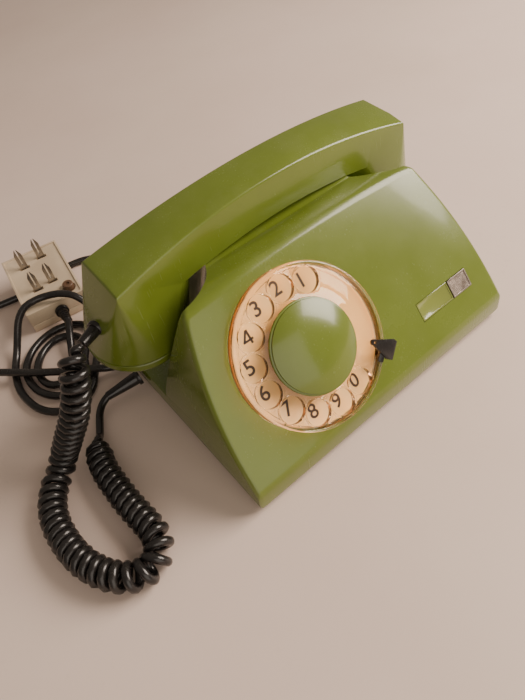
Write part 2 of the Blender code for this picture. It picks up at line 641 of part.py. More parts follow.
def make_ringer(steel, brass, black):
    for word, (x, y) in (("left", GONG_LEFT), ("right", GONG_RIGHT)):
        frame = frame_at((x, y, 0.0), (1, 0, 0), (0, 0, 1))
        turned("gong_" + word, (
            (3.0, 20.5), (12.0, 19.6), (16.4, 16.4), (17.6, 9.5), (GONG_RADIUS, 9.5),
            (18.2, 17.0), (13.0, 21.4), (3.0, 22.4)), brass, frame, 24)
        disc_stack("gong_post_" + word, ((5.0, 5.2, 20.2), (2.6, 20.2, 24.0)), steel, frame, 16)
    pivot = Vector((*CLAPPER_PIVOT, 0.0))
    along = Vector((*CLAPPER_BALL, 0.0)) - pivot
    frame = frame_at((*CLAPPER_PIVOT, 0.0), along, (0, 0, 1))
    reach = along.length
    outline = [(-5.0, -3.4), (4.0, -3.4), (8.0, -0.8), (reach - 2.0, -0.8), (reach, -2.6),
               (reach + 2.6, -1.6), (reach + 2.6, 1.6), (reach, 2.6), (reach - 2.0, 0.8),
               (8.0, 0.8), (4.0, 3.4), (-5.0, 3.4)]
    clapper = prism("clapper", outline, 10.5, 14.5, steel, frame)
    hole = disc_stack("clapper_hole", ((1.7, 5.0, 20.0),), steel, frame, 12)
    combine(clapper, hole, "DIFFERENCE")
    disc_stack("clapper_pin", ((4.0, 5.2, 10.2), (1.4, 10.2, 17.0)), steel, frame, 12)
    coil_frame = frame_at((21.0, 27.0, 14.5), (0, 1, 0), (1, 0, 0))
    disc_stack("ringer_coil", ((8.5, -13.0, -11.5), (7.0, -11.5, 11.5), (8.5, 11.5, 13.0)),
               brass, coil_frame, 20)


def make_electronics(board, black, steel, tin):
    block("circuit_board", (-56.0, 84.0, 8.0), (-12.0, 124.0, 9.6), board)
    block("terminal_block", (-47.0, 88.0, 9.9), (-18.0, 100.0, 18.0), black)
    block("induction_coil", (44.0, 10.0, 5.2), (66.0, 26.0, 19.0), steel)
    frame = frame_at((28.0, 118.0, 13.0), (0, 1, 0), (1, 0, 0))
    disc_stack("capacitor", ((7.0, -16.0, 16.0),), tin, frame, 20)


# ---------------------------------------------------------------- cords and plug

def make_cords(black):
    wall = DEPTH + GAP
    sleeve("line_cord_sleeve", (-58.0, wall, 9.5), (-58.0, wall + 25.0, 9.5), 4.2, 2.9, black)
    cord_tube("line_cord_back", LINE_BACK_ROUTE, LINE_RADIUS, 9.0, black)
    x, y = STORE_CENTRE
    ring_frame = frame_at((x, y, 0.0), (1, 0, 0), (0, 0, 1))
    inner, outer = STORE_RADIUS - 2.7, STORE_RADIUS + 2.7
    turned("line_cord_ring", ((inner, 0.05), (outer, 0.05), (outer, STORE_HEIGHT),
                              (inner, STORE_HEIGHT)), black, ring_frame, 32)
    cord_tube("line_cord_loops", LINE_LOOP_ROUTE, LINE_RADIUS, 6.0, black)
    sleeve("handset_cord_sleeve", (-95.6, 119.0, 9.0), (-118.2, 121.9, 6.8), 4.0, 2.7, black)
    cord_tube("curly_cord", CURLY_ROUTE, COIL_RADIUS, 11.0, black)
    cord_tube("curly_cord_tail", TAIL_ROUTE, STRAND_RADIUS, 5.0, black)
    start, end = on_handset(*CORD_EXIT), on_handset(*CORD_EXIT_END)
    sleeve("handset_end_sleeve", start, end, 3.4, 2.9, black)


def make_plug(ivory, steel, dark, black):
    turn = Matrix.Rotation(PLUG_TURN, 4, "Z") @ Matrix.Rotation(PLUG_TILT, 4, "X")
    frame = Matrix.Translation(body_point(*PLUG_PLACE)) @ turn
    width, length, height = PLUG_SIZE
    inner = width / 2 - 1.5
    outline = [(-inner, 0.0), (inner, 0.0), (width / 2, 1.5), (width / 2, length - 1.5),
               (inner, length), (-inner, length), (-width / 2, length - 1.5), (-width / 2, 1.5)]
    prism("plug_body", outline, 0.0, height, ivory, frame)
    thick, wide, tall = BLADE_SIZE
    for index, (x, y) in enumerate(BLADE_PLACES):
        low = (x - thick / 2, y - wide / 2, height + GAP)
        high = (x + thick / 2, y + wide / 2, height + tall)
        blade = block("plug_blade_%d" % (index + 1), low, high, steel, frame)
        round_edges(blade, 0.5, 1)
    key_frame = frame @ Matrix.Translation(Vector((13.5, 9.0, 0.0)) * MM)
    disc_stack("plug_key", ((3.8, height + GAP, height + 3.5),), dark, key_frame, 16)
    start = frame @ (Vector((1.5, -1.2, 10.0)) * MM)
    place = (start.x / MM, start.y / MM + FRONT_SHIFT, start.z / MM)
    sleeve("plug_sleeve", place, (-105.6, 197.1, 10.7), 3.6, 2.8, black)


def main():
    clear_scene()
    green = material("green_plastic", GREEN, 0.28)
    black = material("black_plastic", BLACK, 0.3)
    cord = material("black_cord", BLACK, 0.25)
    rubber = material("foot_rubber", (0.02, 0.02, 0.02), 0.8)
    steel = material("bright_steel", STEEL, 0.3, 1.0)
    brass = material("gong_brass", BRASS, 0.3, 1.0)
    cream = material("cream_plate", CREAM, 0.4)
    clear = material("clear_wheel", (0.85, 0.72, 0.55), 0.1)
    ivory = material("ivory_plug", IVORY, 0.45)
    brown = material("brown_key", (0.10, 0.05, 0.03), 0.5)
    board = material("circuit_board", (0.25, 0.12, 0.05), 0.6)
    strip = material("badge_clear", (0.20, 0.24, 0.06), 0.2)
    insert = material("knurled_metal", (0.45, 0.42, 0.38), 0.35, 1.0)
    plate = material("base_steel", (0.05, 0.05, 0.05), 0.5, 0.6)
    make_housing(green)
    make_badge(strip, insert)
    make_base(plate, rubber, steel)
    make_dial(clear, green, cream, black, steel, brass)
    make_handset(green)
    make_caps_and_capsules(green, steel)
    make_cradle_switch(black, steel)
    make_ringer(steel, brass, black)
    make_electronics(board, black, steel, steel)
    make_cords(cord)
    make_plug(ivory, steel, brown, cord)


main()
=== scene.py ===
"""Looks of the rotary desk telephone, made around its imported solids.

Pieces are drawn in millimetres in a frame of their own, such as the dial's or the
handset's, and placed from there in metres. Body coordinates run x to the right, y back
from the front edge of the housing and z up from the table.
"""
import math

import bmesh
import bpy
from mathutils import Matrix, Vector


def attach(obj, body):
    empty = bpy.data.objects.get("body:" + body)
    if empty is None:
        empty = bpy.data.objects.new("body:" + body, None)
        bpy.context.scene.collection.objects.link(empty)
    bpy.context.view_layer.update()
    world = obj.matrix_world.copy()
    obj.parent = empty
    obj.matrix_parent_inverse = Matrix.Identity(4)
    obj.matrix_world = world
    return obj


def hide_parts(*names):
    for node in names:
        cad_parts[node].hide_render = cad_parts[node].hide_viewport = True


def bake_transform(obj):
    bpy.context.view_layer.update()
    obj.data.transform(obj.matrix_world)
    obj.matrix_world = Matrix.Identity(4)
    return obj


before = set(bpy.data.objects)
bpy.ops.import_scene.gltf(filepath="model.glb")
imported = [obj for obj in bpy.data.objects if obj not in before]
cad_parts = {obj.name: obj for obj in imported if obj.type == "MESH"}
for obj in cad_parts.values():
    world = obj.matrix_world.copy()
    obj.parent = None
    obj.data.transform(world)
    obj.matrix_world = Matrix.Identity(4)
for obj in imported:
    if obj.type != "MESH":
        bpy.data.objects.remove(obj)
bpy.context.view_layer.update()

MM = 0.001
FRONT_SHIFT = 71.5
GAP = 0.3

# housing
HALF_WIDTH = 96.4
REAR_HALF_WIDTH = 88.5
FLOOR_HALF_WIDTH = 93.4
DEPTH = 144.4
LOWER_EDGE = 2.2
RIM_TOP = 16.3
RIDGE_HALF_WIDTH = 79.3
RIDGE_Y = 58.4
RIDGE_Z = 89.7
FACE_BOW = 4.6
RIDGE_ARCH = (2.4, 3.0)
BACK_TOP = (52.0, 121.0, 97.5)
WALL = 2.6
BADGE_LOW = (37.4, 17.0)
BADGE_HIGH = (79.0, 28.6)
BADGE_SPLIT = 63.4
SADDLE = ((60.0, 93.2), (80.0, 89.0), (117.0, 95.5), (119.0, 125.0), (60.0, 125.0))
RECESS_RADIUS = 33.0
RECESS_FLOOR = 16.6
RECESS_TOP = 130.0
RECESS_LOW = (86.0, 119.5, 18.0)
RECESS_HIGH = (80.0, 95.0, 90.0)

# dial
DIAL_CENTRE = (-33.0, 29.66, 53.23)
WHEEL_RADIUS = 43.0
WHEEL_TOP = 7.35
HOLE_RADIUS = 7.0
HOLE_CIRCLE = 33.33
HOLE_PITCH = 360.0 / 14.0
FIRST_HOLE = 62.5
STOP_ANGLE = -30.0
STOP_SKEW = -0.35                # turn of the pointer about its own tip
STOP_TIP = 33.4
CAP_RADIUS = 24.8
PLATE_RADIUS = 41.6
DIGIT_SIZE = 11.2
DIGIT_LEVEL = 1.14
DIGIT_DEPTH = 0.05
CASE_RADIUS = 33.4

# handset
HANDSET_CENTRE = (0.0, 98.1, 102.6)
HANDSET_TILT = math.radians(10.0)
TOP_HALF_LENGTH = 98.3
FACET_SLOPE = 3.67
ARCH = 13.6
GRIP_THICKNESS = 20.0
SHOULDER = 70.0                  # where the grip's underside levels out
CLEAR = 0.04                     # keeps the hollow's cutter off the skin
BELL_STATIONS = (110.0, 98.0, 92.0, 86.0, 80.0, 74.0, 69.0, 64.0, 58.0, 53.0)
BELL_X = 88.2
BELL_RADIUS = 28.0
SEAM = -44.0
CAP_LOW = -52.0
CORD_EXIT = (-108.4, -2.0, -26.5)
CORD_EXIT_END = (-120.1, -7.5, -25.2)
PLUNGER_X = 30.0

# cords
LINE_RADIUS = 2.5
STRAND_RADIUS = 2.3
COIL_RADIUS = 7.9
COIL_PITCH = 5.0
COIL_FADE = 0.011                # metres of route over which the coil opens from its lead
OFF_TABLE = 0.05
CORD_SIDES = 12
STORE_CENTRE = (-184.0, 242.0)
STORE_RADIUS = 28.0
STORE_TURN = (90.0, 960.0)

LINE_BACK_ROUTE = (
    (-58, 170.2, 9.5), (-58, 178, 8.6), (-58, 190, 5.2), (-57, 204, 2.9), (-53, 222, 2.6),
    (-50, 238, 2.6), (-53, 253, 2.6), (-64, 262, 2.6), (-80, 265, 2.6), (-97, 263, 2.6),
    (-114, 261, 2.6), (-131, 264, 2.6), (-148, 269, 2.6), (-158, 270, 2.6), (-166.3, 270, 2.6),
)
LINE_LOOP_ROUTE = (
    (-180.2, 207.6, 9), (-170, 201, 8.2), (-160, 192, 8), (-148, 179, 8), (-136, 167, 8),
    (-124, 156, 8), (-114, 148, 8), (-106, 142.6, 6.4), (-98.4, 141.4, 4), (-92.2, 145.8, 2.6),
    (-88.7, 153.5, 2.6), (-86.8, 164, 2.6), (-86, 176, 3), (-86, 188, 7), (-88.5, 197, 14.5),
    (-93, 204.5, 21.4), (-99.5, 211.5, 23.4), (-107.5, 217, 23.4), (-116, 219.6, 23.2),
    (-124, 218.6, 23), (-131.5, 215.3, 19.2), (-138.5, 210, 11.5), (-145.5, 202.5, 5),
    (-151.5, 193, 3), (-155.5, 181, 2.6), (-157, 167, 2.6), (-154, 150, 2.6),
    (-146, 138.5, 2.6), (-134, 134.5, 2.6), (-122, 138.5, 2.6), (-113.5, 150, 2.6),
    (-104, 164, 2.6), (-97, 178, 2.6), (-97, 193, 2.6), (-105, 203, 2.6), (-117, 206.5, 2.6),
    (-130, 203.5, 2.6), (-141, 195, 2.6), (-148, 182, 2.6), (-148.5, 166, 2.6),
    (-144.3, 155, 2.6), (-137.5, 148, 2.6), (-128, 146, 2.6), (-119.5, 151.5, 2.6),
    (-113, 165, 2.6), (-106, 178, 2.6), (-108, 191, 2.6), (-118.5, 197.5, 2.6),
    (-131, 193, 2.6), (-140, 182, 2.6), (-142, 169.5, 2.6), (-138.8, 160.7, 2.6),
    (-131, 157.5, 2.6), (-123.2, 160.7, 2.6), (-119.8, 168.8, 2.8), (-116, 177.5, 4.6),
    (-111.3, 186, 8), (-106.6, 195.2, 10.6),
)
LINE_SLEEVE_END = (-58.0, 167.5, 9.5)
PLUG_SLEEVE_END = (-105.5, 199.0, 10.7)
CURLY_ROUTE = (
    (-121.2, 94.6, 76.5), (-126, 91.8, 76), (-130, 88.5, 72), (-133, 86.5, 65.5),
    (-136.5, 85.5, 58), (-140.5, 86, 49.5), (-145, 88.5, 40), (-149.5, 91.3, 31),
    (-153.5, 94, 22.5), (-158, 95.8, 14.5), (-163.5, 93.5, 9.2), (-170, 88, 8), (-176, 79, 8),
    (-179.5, 68, 8), (-180.3, 56, 8), (-179.5, 44, 8), (-176.5, 33, 8), (-171.3, 23, 8),
    (-163.8, 15.3, 8), (-154.8, 12.9, 8), (-147.2, 17.3, 8), (-144, 26, 8), (-144.4, 37, 8),
    (-145.3, 49, 8), (-145.4, 62, 8), (-145, 75, 8), (-142.5, 87, 8), (-137.5, 98, 8),
)
TAIL_ROUTE = (
    (-136.2, 101.1, 4.4), (-133.5, 106.5, 3.4), (-130.5, 112.5, 3), (-127.5, 117, 3.8),
    (-123.5, 120.2, 5.2), (-119.2, 121.6, 6.6), (-116.4, 121.7, 7.0),
)

# plug
PLUG_PLACE = (-105.0, 214.6, 0.4)
PLUG_TURN = math.radians(-9.2)
PLUG_TILT = math.radians(7.4)
PLUG_SIZE = (42.0, 61.0, 18.0)
BLADE_PLACES = ((-7.5, 46.5), (6.5, 50.5), (5.5, 22.0), (-6.0, 20.0))
PLUG_KEY = (13.5, 9.0)
PLUG_GROOVE = (6.0, 6.8)


# ---------------------------------------------------------------- places

def body_point(x, y, z):
    """A point in body coordinates, in metres from the part's origin."""
    return Vector((x, y - FRONT_SHIFT, z)) * MM


def frame_at(origin, x_axis, z_axis):
    """Matrix that takes millimetres of a piece's own frame to metres of the part's."""
    z_axis = Vector(z_axis).normalized()
    x_axis = Vector(x_axis).normalized()
    y_axis = z_axis.cross(x_axis)
    turn = Matrix((x_axis, y_axis, z_axis)).transposed().to_4x4()
    return Matrix.Translation(body_point(*origin)) @ turn @ Matrix.Scale(MM, 4)


FACE_UP = Vector((0.0, RIDGE_Y, RIDGE_Z - RIM_TOP)).normalized()
FACE_OUT = Vector((1.0, 0.0, 0.0)).cross(FACE_UP)
LEVEL = frame_at((0, 0, 0), (1, 0, 0), (0, 0, 1))
FACE = frame_at((0.0, 0.0, RIM_TOP), (1, 0, 0), FACE_OUT)
DIAL = frame_at(DIAL_CENTRE, (1, 0, 0), FACE_OUT)
HANDSET_UP = Vector((0.0, -math.sin(HANDSET_TILT), math.cos(HANDSET_TILT)))
HANDSET = frame_at(HANDSET_CENTRE, (1, 0, 0), HANDSET_UP)
PLUG = (
    Matrix.Translation(body_point(*PLUG_PLACE)) @ Matrix.Rotation(PLUG_TURN, 4, "Z")
    @ Matrix.Rotation(PLUG_TILT, 4, "X") @ Matrix.Scale(MM, 4)
)


def moved(matrix, x, y, z):
    return matrix @ Matrix.Translation((x, y, z))


def body_place(matrix, point):
    """A point of a piece's own frame in body coordinates."""
    place = matrix @ Vector(point) / MM
    return (place.x, place.y + FRONT_SHIFT, place.z)


# ---------------------------------------------------------------- modelling

def nothing_selected():
    if bpy.context.mode != "OBJECT":
        bpy.ops.object.mode_set(mode="OBJECT")
    bpy.ops.object.select_all(action="DESELECT")


def only(piece):
    nothing_selected()
    piece.select_set(True)
    bpy.context.view_layer.objects.active = piece


def in_scene(name, data):
    made = bpy.data.objects.new(name, data)
    bpy.context.collection.objects.link(made)
    return made


def begin(name, add, **settings):
    """Add a primitive with nothing else selected, and name it."""
    nothing_selected()
    add(**settings)
    piece = bpy.context.object
    piece.name = name
    piece.data.name = name
    return piece


def edit(piece):
    only(piece)
    bpy.ops.object.mode_set(mode="EDIT")


def leave_edit():
    bpy.ops.object.mode_set(mode="OBJECT")


def pick_all():
    bpy.ops.mesh.select_all(action="SELECT")


def pick_points(piece, test):
    """In edit mode, select the vertices whose place passes the test."""
    bpy.ops.mesh.select_mode(type="VERT")
    bpy.ops.mesh.select_all(action="DESELECT")
    shape = bmesh.from_edit_mesh(piece.data)
    for vert in shape.verts:
        vert.select_set(bool(test(vert.co)))
    shape.select_flush_mode()
    bmesh.update_edit_mesh(piece.data)


def pick_faces(piece, test):
    """In edit mode, select the faces whose middle and normal pass the test."""
    bpy.ops.mesh.select_mode(type="FACE")
    bpy.ops.mesh.select_all(action="DESELECT")
    shape = bmesh.from_edit_mesh(piece.data)
    for face in shape.faces:
        face.select_set(bool(test(face.calc_center_median(), face.normal)))
    shape.select_flush_mode()
    bmesh.update_edit_mesh(piece.data)


def modify(piece, kind, **settings):
    """Add a modifier and apply it."""
    only(piece)
    step = piece.modifiers.new(kind.lower(), kind)
    for name, value in settings.items():
        setattr(step, name, value)
    bpy.ops.object.modifier_apply(modifier=step.name)
    return piece


def soften(piece, width, segments=3, angle=30.0):
    return modify(piece, "BEVEL", width=width, segments=segments, limit_method="ANGLE",
                  angle_limit=math.radians(angle))


def combine(piece, other, operation="DIFFERENCE"):
    modify(piece, "BOOLEAN", operation=operation, solver="EXACT", object=other)
    bpy.data.objects.remove(other, do_unlink=True)
    return piece


def set_place(piece, matrix):
    """Apply a place to a piece's mesh, so that its object stays at the origin."""
    only(piece)
    piece.matrix_world = matrix @ piece.matrix_world
    bpy.ops.object.transform_apply(location=True, rotation=True, scale=True)
    return piece


def spun(name, outline, steps=64):
    """An outline of (radius, height) points, drawn by extrusion and spun about z."""
    piece = begin(name, bpy.ops.mesh.primitive_plane_add, size=1.0)
    edit(piece)
    bpy.ops.mesh.select_mode(type="VERT")
    pick_all()
    bpy.ops.mesh.merge(type="CENTER")
    points = [Vector((radius, 0.0, height)) for radius, height in outline]
    bpy.ops.transform.translate(value=points[0])
    for before, after in zip(points, points[1:]):
        bpy.ops.mesh.extrude_vertices_move(TRANSFORM_OT_translate={"value": after - before})
    if outline[0][0] > 0.0:
        bpy.ops.mesh.extrude_vertices_move(
            TRANSFORM_OT_translate={"value": points[0] - points[-1]})
    pick_all()
    bpy.ops.mesh.spin(steps=steps, angle=math.tau, center=(0, 0, 0), axis=(0, 0, 1))
    pick_all()
    bpy.ops.mesh.remove_doubles(threshold=0.001)
    bpy.ops.mesh.dissolve_degenerate(threshold=0.001)
    bpy.ops.mesh.normals_make_consistent(inside=False)
    leave_edit()
    return piece


def arc(centre, radius, start, end, steps):
    """Points along an arc in an outline, angles in degrees."""
    points = []
    for step in range(steps + 1):
        angle = math.radians(start + (end - start) * step / steps)
        points.append((centre[0] + radius * math.cos(angle),
                       centre[1] + radius * math.sin(angle)))
    return points


def from_points(name, points, faces):
    """A mesh of given points and faces, left in edit mode with all selected."""
    piece = begin(name, bpy.ops.mesh.primitive_plane_add, size=1.0)
    piece.data.clear_geometry()
    piece.data.from_pydata([tuple(point) for point in points], [], faces)
    edit(piece)
    pick_all()
    return piece


def shrunk(name, points):
    """The tightest closed skin round a set of points."""
    piece = from_points(name, points, [])
    bpy.ops.mesh.convex_hull(use_existing_faces=False, make_holes=False, join_triangles=False)
    pick_all()
    bpy.ops.mesh.dissolve_limited(angle_limit=math.radians(0.5))
    bpy.ops.mesh.normals_make_consistent(inside=False)
    leave_edit()
    return piece


def lofted(name, rings):
    """Close a row of matching rings into one solid."""
    size = len(rings[0])
    faces = [tuple(range(size))[::-1],
             tuple(range(size * (len(rings) - 1), size * len(rings)))]
    for row in range(len(rings) - 1):
        for index in range(size):
            after = (index + 1) % size
            low, high = row * size, (row + 1) * size
            faces.append((low + index, low + after, high + after, high + index))
    piece = from_points(name, [point for ring in rings for point in ring], faces)
    bpy.ops.mesh.normals_make_consistent(inside=False)
    leave_edit()
    return piece


def box(name, low, high):
    """A block between two corners, to be shaped further."""
    middle = [(a + b) / 2 for a, b in zip(low, high)]
    piece = begin(name, bpy.ops.mesh.primitive_cube_add, size=1.0, location=middle)
    piece.scale = [b - a for a, b in zip(low, high)]
    bpy.ops.object.transform_apply(location=True, rotation=True, scale=True)
    return piece


def rod(name, radius, low, high, sides=32):
    """A round bar along z, as a cutter or a start."""
    return begin(name, bpy.ops.mesh.primitive_cylinder_add, vertices=sides, radius=radius,
                 depth=high - low, location=(0, 0, (low + high) / 2))


def rod_at(name, radius, low, high, x, y, sides):
    return set_place(rod(name, radius, low, high, sides), Matrix.Translation((x, y, 0.0)))


def joined(pieces, name):
    only(pieces[0])
    for piece in pieces[1:]:
        piece.select_set(True)
    bpy.ops.object.join()
    whole = bpy.context.object
    whole.name = name
    whole.data.name = name
    return whole


def finish_piece(piece, paint, body, replaces=(), matrix=None, angle=35.0):
    """Place, shade, paint and hang a piece on its body."""
    if matrix is not None:
        set_place(piece, matrix)
    only(piece)
    bpy.ops.object.shade_smooth_by_angle(angle=math.radians(angle))
    piece.data.materials.clear()
    piece.data.materials.append(paint)
    if body:
        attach(piece, body)
    if replaces:
        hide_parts(*replaces)
    return piece


# ---------------------------------------------------------------- node groups

def new_group(name, amounts, outputs):
    """A shader node group: a vector and some amounts go in, values come out."""
    group = bpy.data.node_groups.new(name, "ShaderNodeTree")
    group.interface.new_socket("Vector", in_out="INPUT", socket_type="NodeSocketVector")
    for label, value in amounts:
        socket = group.interface.new_socket(label, in_out="INPUT",
                                            socket_type="NodeSocketFloat")
        socket.default_value = value
    for label in outputs:
        group.interface.new_socket(label, in_out="OUTPUT", socket_type="NodeSocketFloat")
    return group, group.nodes.new("NodeGroupInput"), group.nodes.new("NodeGroupOutput")


def add_node(tree, kind, socket, source, **values):
    """Add a node, link a source to one socket and set others by name."""
    made = tree.nodes.new(kind)
    for name, value in values.items():
        made.inputs[name.replace("_", " ").title()].default_value = value
    tree.links.new(source, made.inputs[socket])
    return made


def ramp(tree, source, low, high, low_value=0.0, high_value=1.0):
    """A value stretched between two limits and clamped there."""
    made = add_node(tree, "ShaderNodeMapRange", "Value", source, from_min=low, from_max=high,
                    to_min=low_value, to_max=high_value)
    return made.outputs["Result"]


def math_node(tree, operation, first, second):
    made = tree.nodes.new("ShaderNodeMath")
    made.operation = operation
    for index, value in enumerate((first, second)):
        if isinstance(value, (int, float)):
            made.inputs[index].default_value = value
        else:
            tree.links.new(value, made.inputs[index])
    return made.outputs[0]


def mixed(tree, factor, first, second):
    """Mix two colours: each is a socket or an (r, g, b)."""
    made = tree.nodes.new("ShaderNodeMix")
    made.data_type = "RGBA"
    for socket, value in ((made.inputs[0], factor), (made.inputs[6], first),
                          (made.inputs[7], second)):
        if isinstance(value, bpy.types.NodeSocket):
            tree.links.new(value, socket)
        elif isinstance(value, (int, float)):
            socket.default_value = value
        else:
            socket.default_value = (*value, 1.0)
    return made.outputs[2]


def noise(tree, coords, scale, detail=2.0, rough=0.5):
    made = add_node(tree, "ShaderNodeTexNoise", "Vector", coords, scale=scale, detail=detail,
                    roughness=rough)
    return made.outputs["Fac"]


def stretched(tree, coords, scale, turn=(0.0, 0.0, 0.0)):
    made = add_node(tree, "ShaderNodeMapping", "Vector", coords, scale=scale, rotation=turn)
    return made.outputs["Vector"]


def make_handling_marks():
    """Hairline scratches that run several ways, thinned out by patches."""
    group, start, end = new_group("handling_marks", (("Density", 0.5),), ("Mask",))
    total = None
    directions = ((0.3, 0.5, 0.2), (1.4, 0.1, 0.9), (2.2, 0.8, 0.4))
    for turn in directions:
        coords = stretched(group, start.outputs["Vector"], (900.0, 900.0, 26.0), turn)
        lines = noise(group, coords, 1.0, 1.0)
        thin = ramp(group, lines, 0.70, 0.78)
        total = thin if total is None else math_node(group, "MAXIMUM", total, thin)
    patches = ramp(group, noise(group, start.outputs["Vector"], 38.0, 3.0), 0.42, 0.68)
    scratches = math_node(group, "MULTIPLY", total, patches)
    mask = math_node(group, "MULTIPLY", scratches, start.outputs["Density"])
    group.links.new(mask, end.inputs["Mask"])
    return group


def make_settled_dust():
    """Fine dust on what faces up, broken into specks."""
    group, start, end = new_group("settled_dust", (("Amount", 0.3),), ("Mask",))
    geometry = group.nodes.new("ShaderNodeNewGeometry")
    split = group.nodes.new("ShaderNodeSeparateXYZ")
    group.links.new(geometry.outputs["Normal"], split.inputs[0])
    upward = ramp(group, split.outputs["Z"], 0.25, 0.95)
    specks = ramp(group, noise(group, start.outputs["Vector"], 1500.0, 2.0), 0.64, 0.80)
    haze = ramp(group, noise(group, start.outputs["Vector"], 60.0, 4.0, 0.6), 0.45, 0.9, 0.0, 0.5)
    both = math_node(group, "ADD", specks, haze)
    mask = math_node(group, "MULTIPLY", both, upward)
    mask = math_node(group, "MULTIPLY", mask, start.outputs["Amount"])
    group.links.new(mask, end.inputs["Mask"])
    return group


def make_moulded_skin():
    """The slow waviness and fine grain that a mould leaves."""
    group, start, end = new_group("moulded_skin", (("Grain", 0.3),), ("Height", "Mottle"))
    slow = noise(group, start.outputs["Vector"], 70.0, 1.0)
    fine = noise(group, start.outputs["Vector"], 1300.0, 2.0)
    fine = math_node(group, "MULTIPLY", fine, start.outputs["Grain"])
    height = math_node(group, "ADD", slow, fine)
    mottle = noise(group, start.outputs["Vector"], 22.0, 5.0, 0.6)
    group.links.new(height, end.inputs["Height"])
    group.links.new(mottle, end.inputs["Mottle"])
    return group


def make_drawn_lines():
    """Fine parallel lines of drawn or turned metal, with a slow stain."""
    group, start, end = new_group("drawn_lines", (), ("Lines", "Stain"))
    coords = stretched(group, start.outputs["Vector"], (2600.0, 2600.0, 60.0))
    lines = noise(group, coords, 1.0, 2.0)
    stain = ramp(group, noise(group, start.outputs["Vector"], 130.0, 4.0, 0.65), 0.40, 0.75)
    group.links.new(lines, end.inputs["Lines"])
    group.links.new(stain, end.inputs["Stain"])
    return group


DUST_COLOUR = (0.46, 0.43, 0.37)
HANDLING = make_handling_marks()
DUST = make_settled_dust()
SKIN = make_moulded_skin()
DRAWN = make_drawn_lines()


# ---------------------------------------------------------------- materials

def group_node(tree, group, coords, **values):
    made = tree.nodes.new("ShaderNodeGroup")
    made.node_tree = group
    tree.links.new(coords, made.inputs["Vector"])
    for name, value in values.items():
        made.inputs[name.title()].default_value = value
    return made


def new_material(name):
    paint = bpy.data.materials.new(name)
    paint.use_nodes = True
    tree = paint.node_tree
    shader = tree.nodes["Principled BSDF"]
    coords = tree.nodes.new("ShaderNodeTexCoord").outputs["Object"]
    return paint, tree, shader, coords


def paint_with(tree, shader, colour, gloss):
    tree.links.new(colour, shader.inputs["Base Color"])
    tree.links.new(gloss, shader.inputs["Roughness"])


def bump(tree, shader, height, strength, distance):
    made = add_node(tree, "ShaderNodeBump", "Height", height, strength=strength,
                    distance=distance)
    tree.links.new(made.outputs["Normal"], shader.inputs["Normal"])


def moulded_plastic(name, colour, shade, roughness, marks=0.5, dust=0.25, grain=0.2, coat=0.0):
    """Moulded plastic: two close shades, hairline marks, a little dust and mould texture."""
    paint, tree, shader, coords = new_material(name)
    skin = group_node(tree, SKIN, coords, grain=grain)
    marked = group_node(tree, HANDLING, coords, density=marks).outputs["Mask"]
    dusty = group_node(tree, DUST, coords, amount=dust).outputs["Mask"]
    tone = ramp(tree, skin.outputs["Mottle"], 0.35, 0.65)
    base = mixed(tree, tone, colour, shade)
    pale = [min(1.0, channel * 1.25 + 0.05) for channel in colour]
    base = mixed(tree, math_node(tree, "MULTIPLY", marked, 0.35), base, pale)
    base = mixed(tree, dusty, base, DUST_COLOUR)
    gloss = ramp(tree, skin.outputs["Mottle"], 0.3, 0.7, roughness * 0.85, roughness * 1.2)
    gloss = math_node(tree, "ADD", gloss, math_node(tree, "MULTIPLY", marked, 0.18))
    gloss = math_node(tree, "ADD", gloss, math_node(tree, "MULTIPLY", dusty, 0.35))
    paint_with(tree, shader, base, gloss)
    height = math_node(tree, "SUBTRACT", skin.outputs["Height"],
                       math_node(tree, "MULTIPLY", marked, 0.5))
    bump(tree, shader, height, 0.12, 0.00025)
    shader.inputs["Coat Weight"].default_value = coat
    shader.inputs["Coat Roughness"].default_value = 0.08
    return paint


def bare_metal(name, colour, stain_colour, roughness, stain=0.5):
    """Drawn or plated metal with fine lines and tarnish."""
    paint, tree, shader, coords = new_material(name)
    drawn = group_node(tree, DRAWN, coords)
    marked = group_node(tree, HANDLING, coords, density=0.6).outputs["Mask"]
    amount = math_node(tree, "MULTIPLY", drawn.outputs["Stain"], stain)
    base = mixed(tree, amount, colour, stain_colour)
    shader.inputs["Metallic"].default_value = 1.0
    gloss = ramp(tree, drawn.outputs["Lines"], 0.3, 0.7, roughness * 0.8, roughness * 1.3)
    gloss = math_node(tree, "ADD", gloss, math_node(tree, "MULTIPLY", amount, 0.25))
    paint_with(tree, shader, base, gloss)
    height = math_node(tree, "ADD", drawn.outputs["Lines"], marked)
    bump(tree, shader, height, 0.15, 0.0001)
    return paint


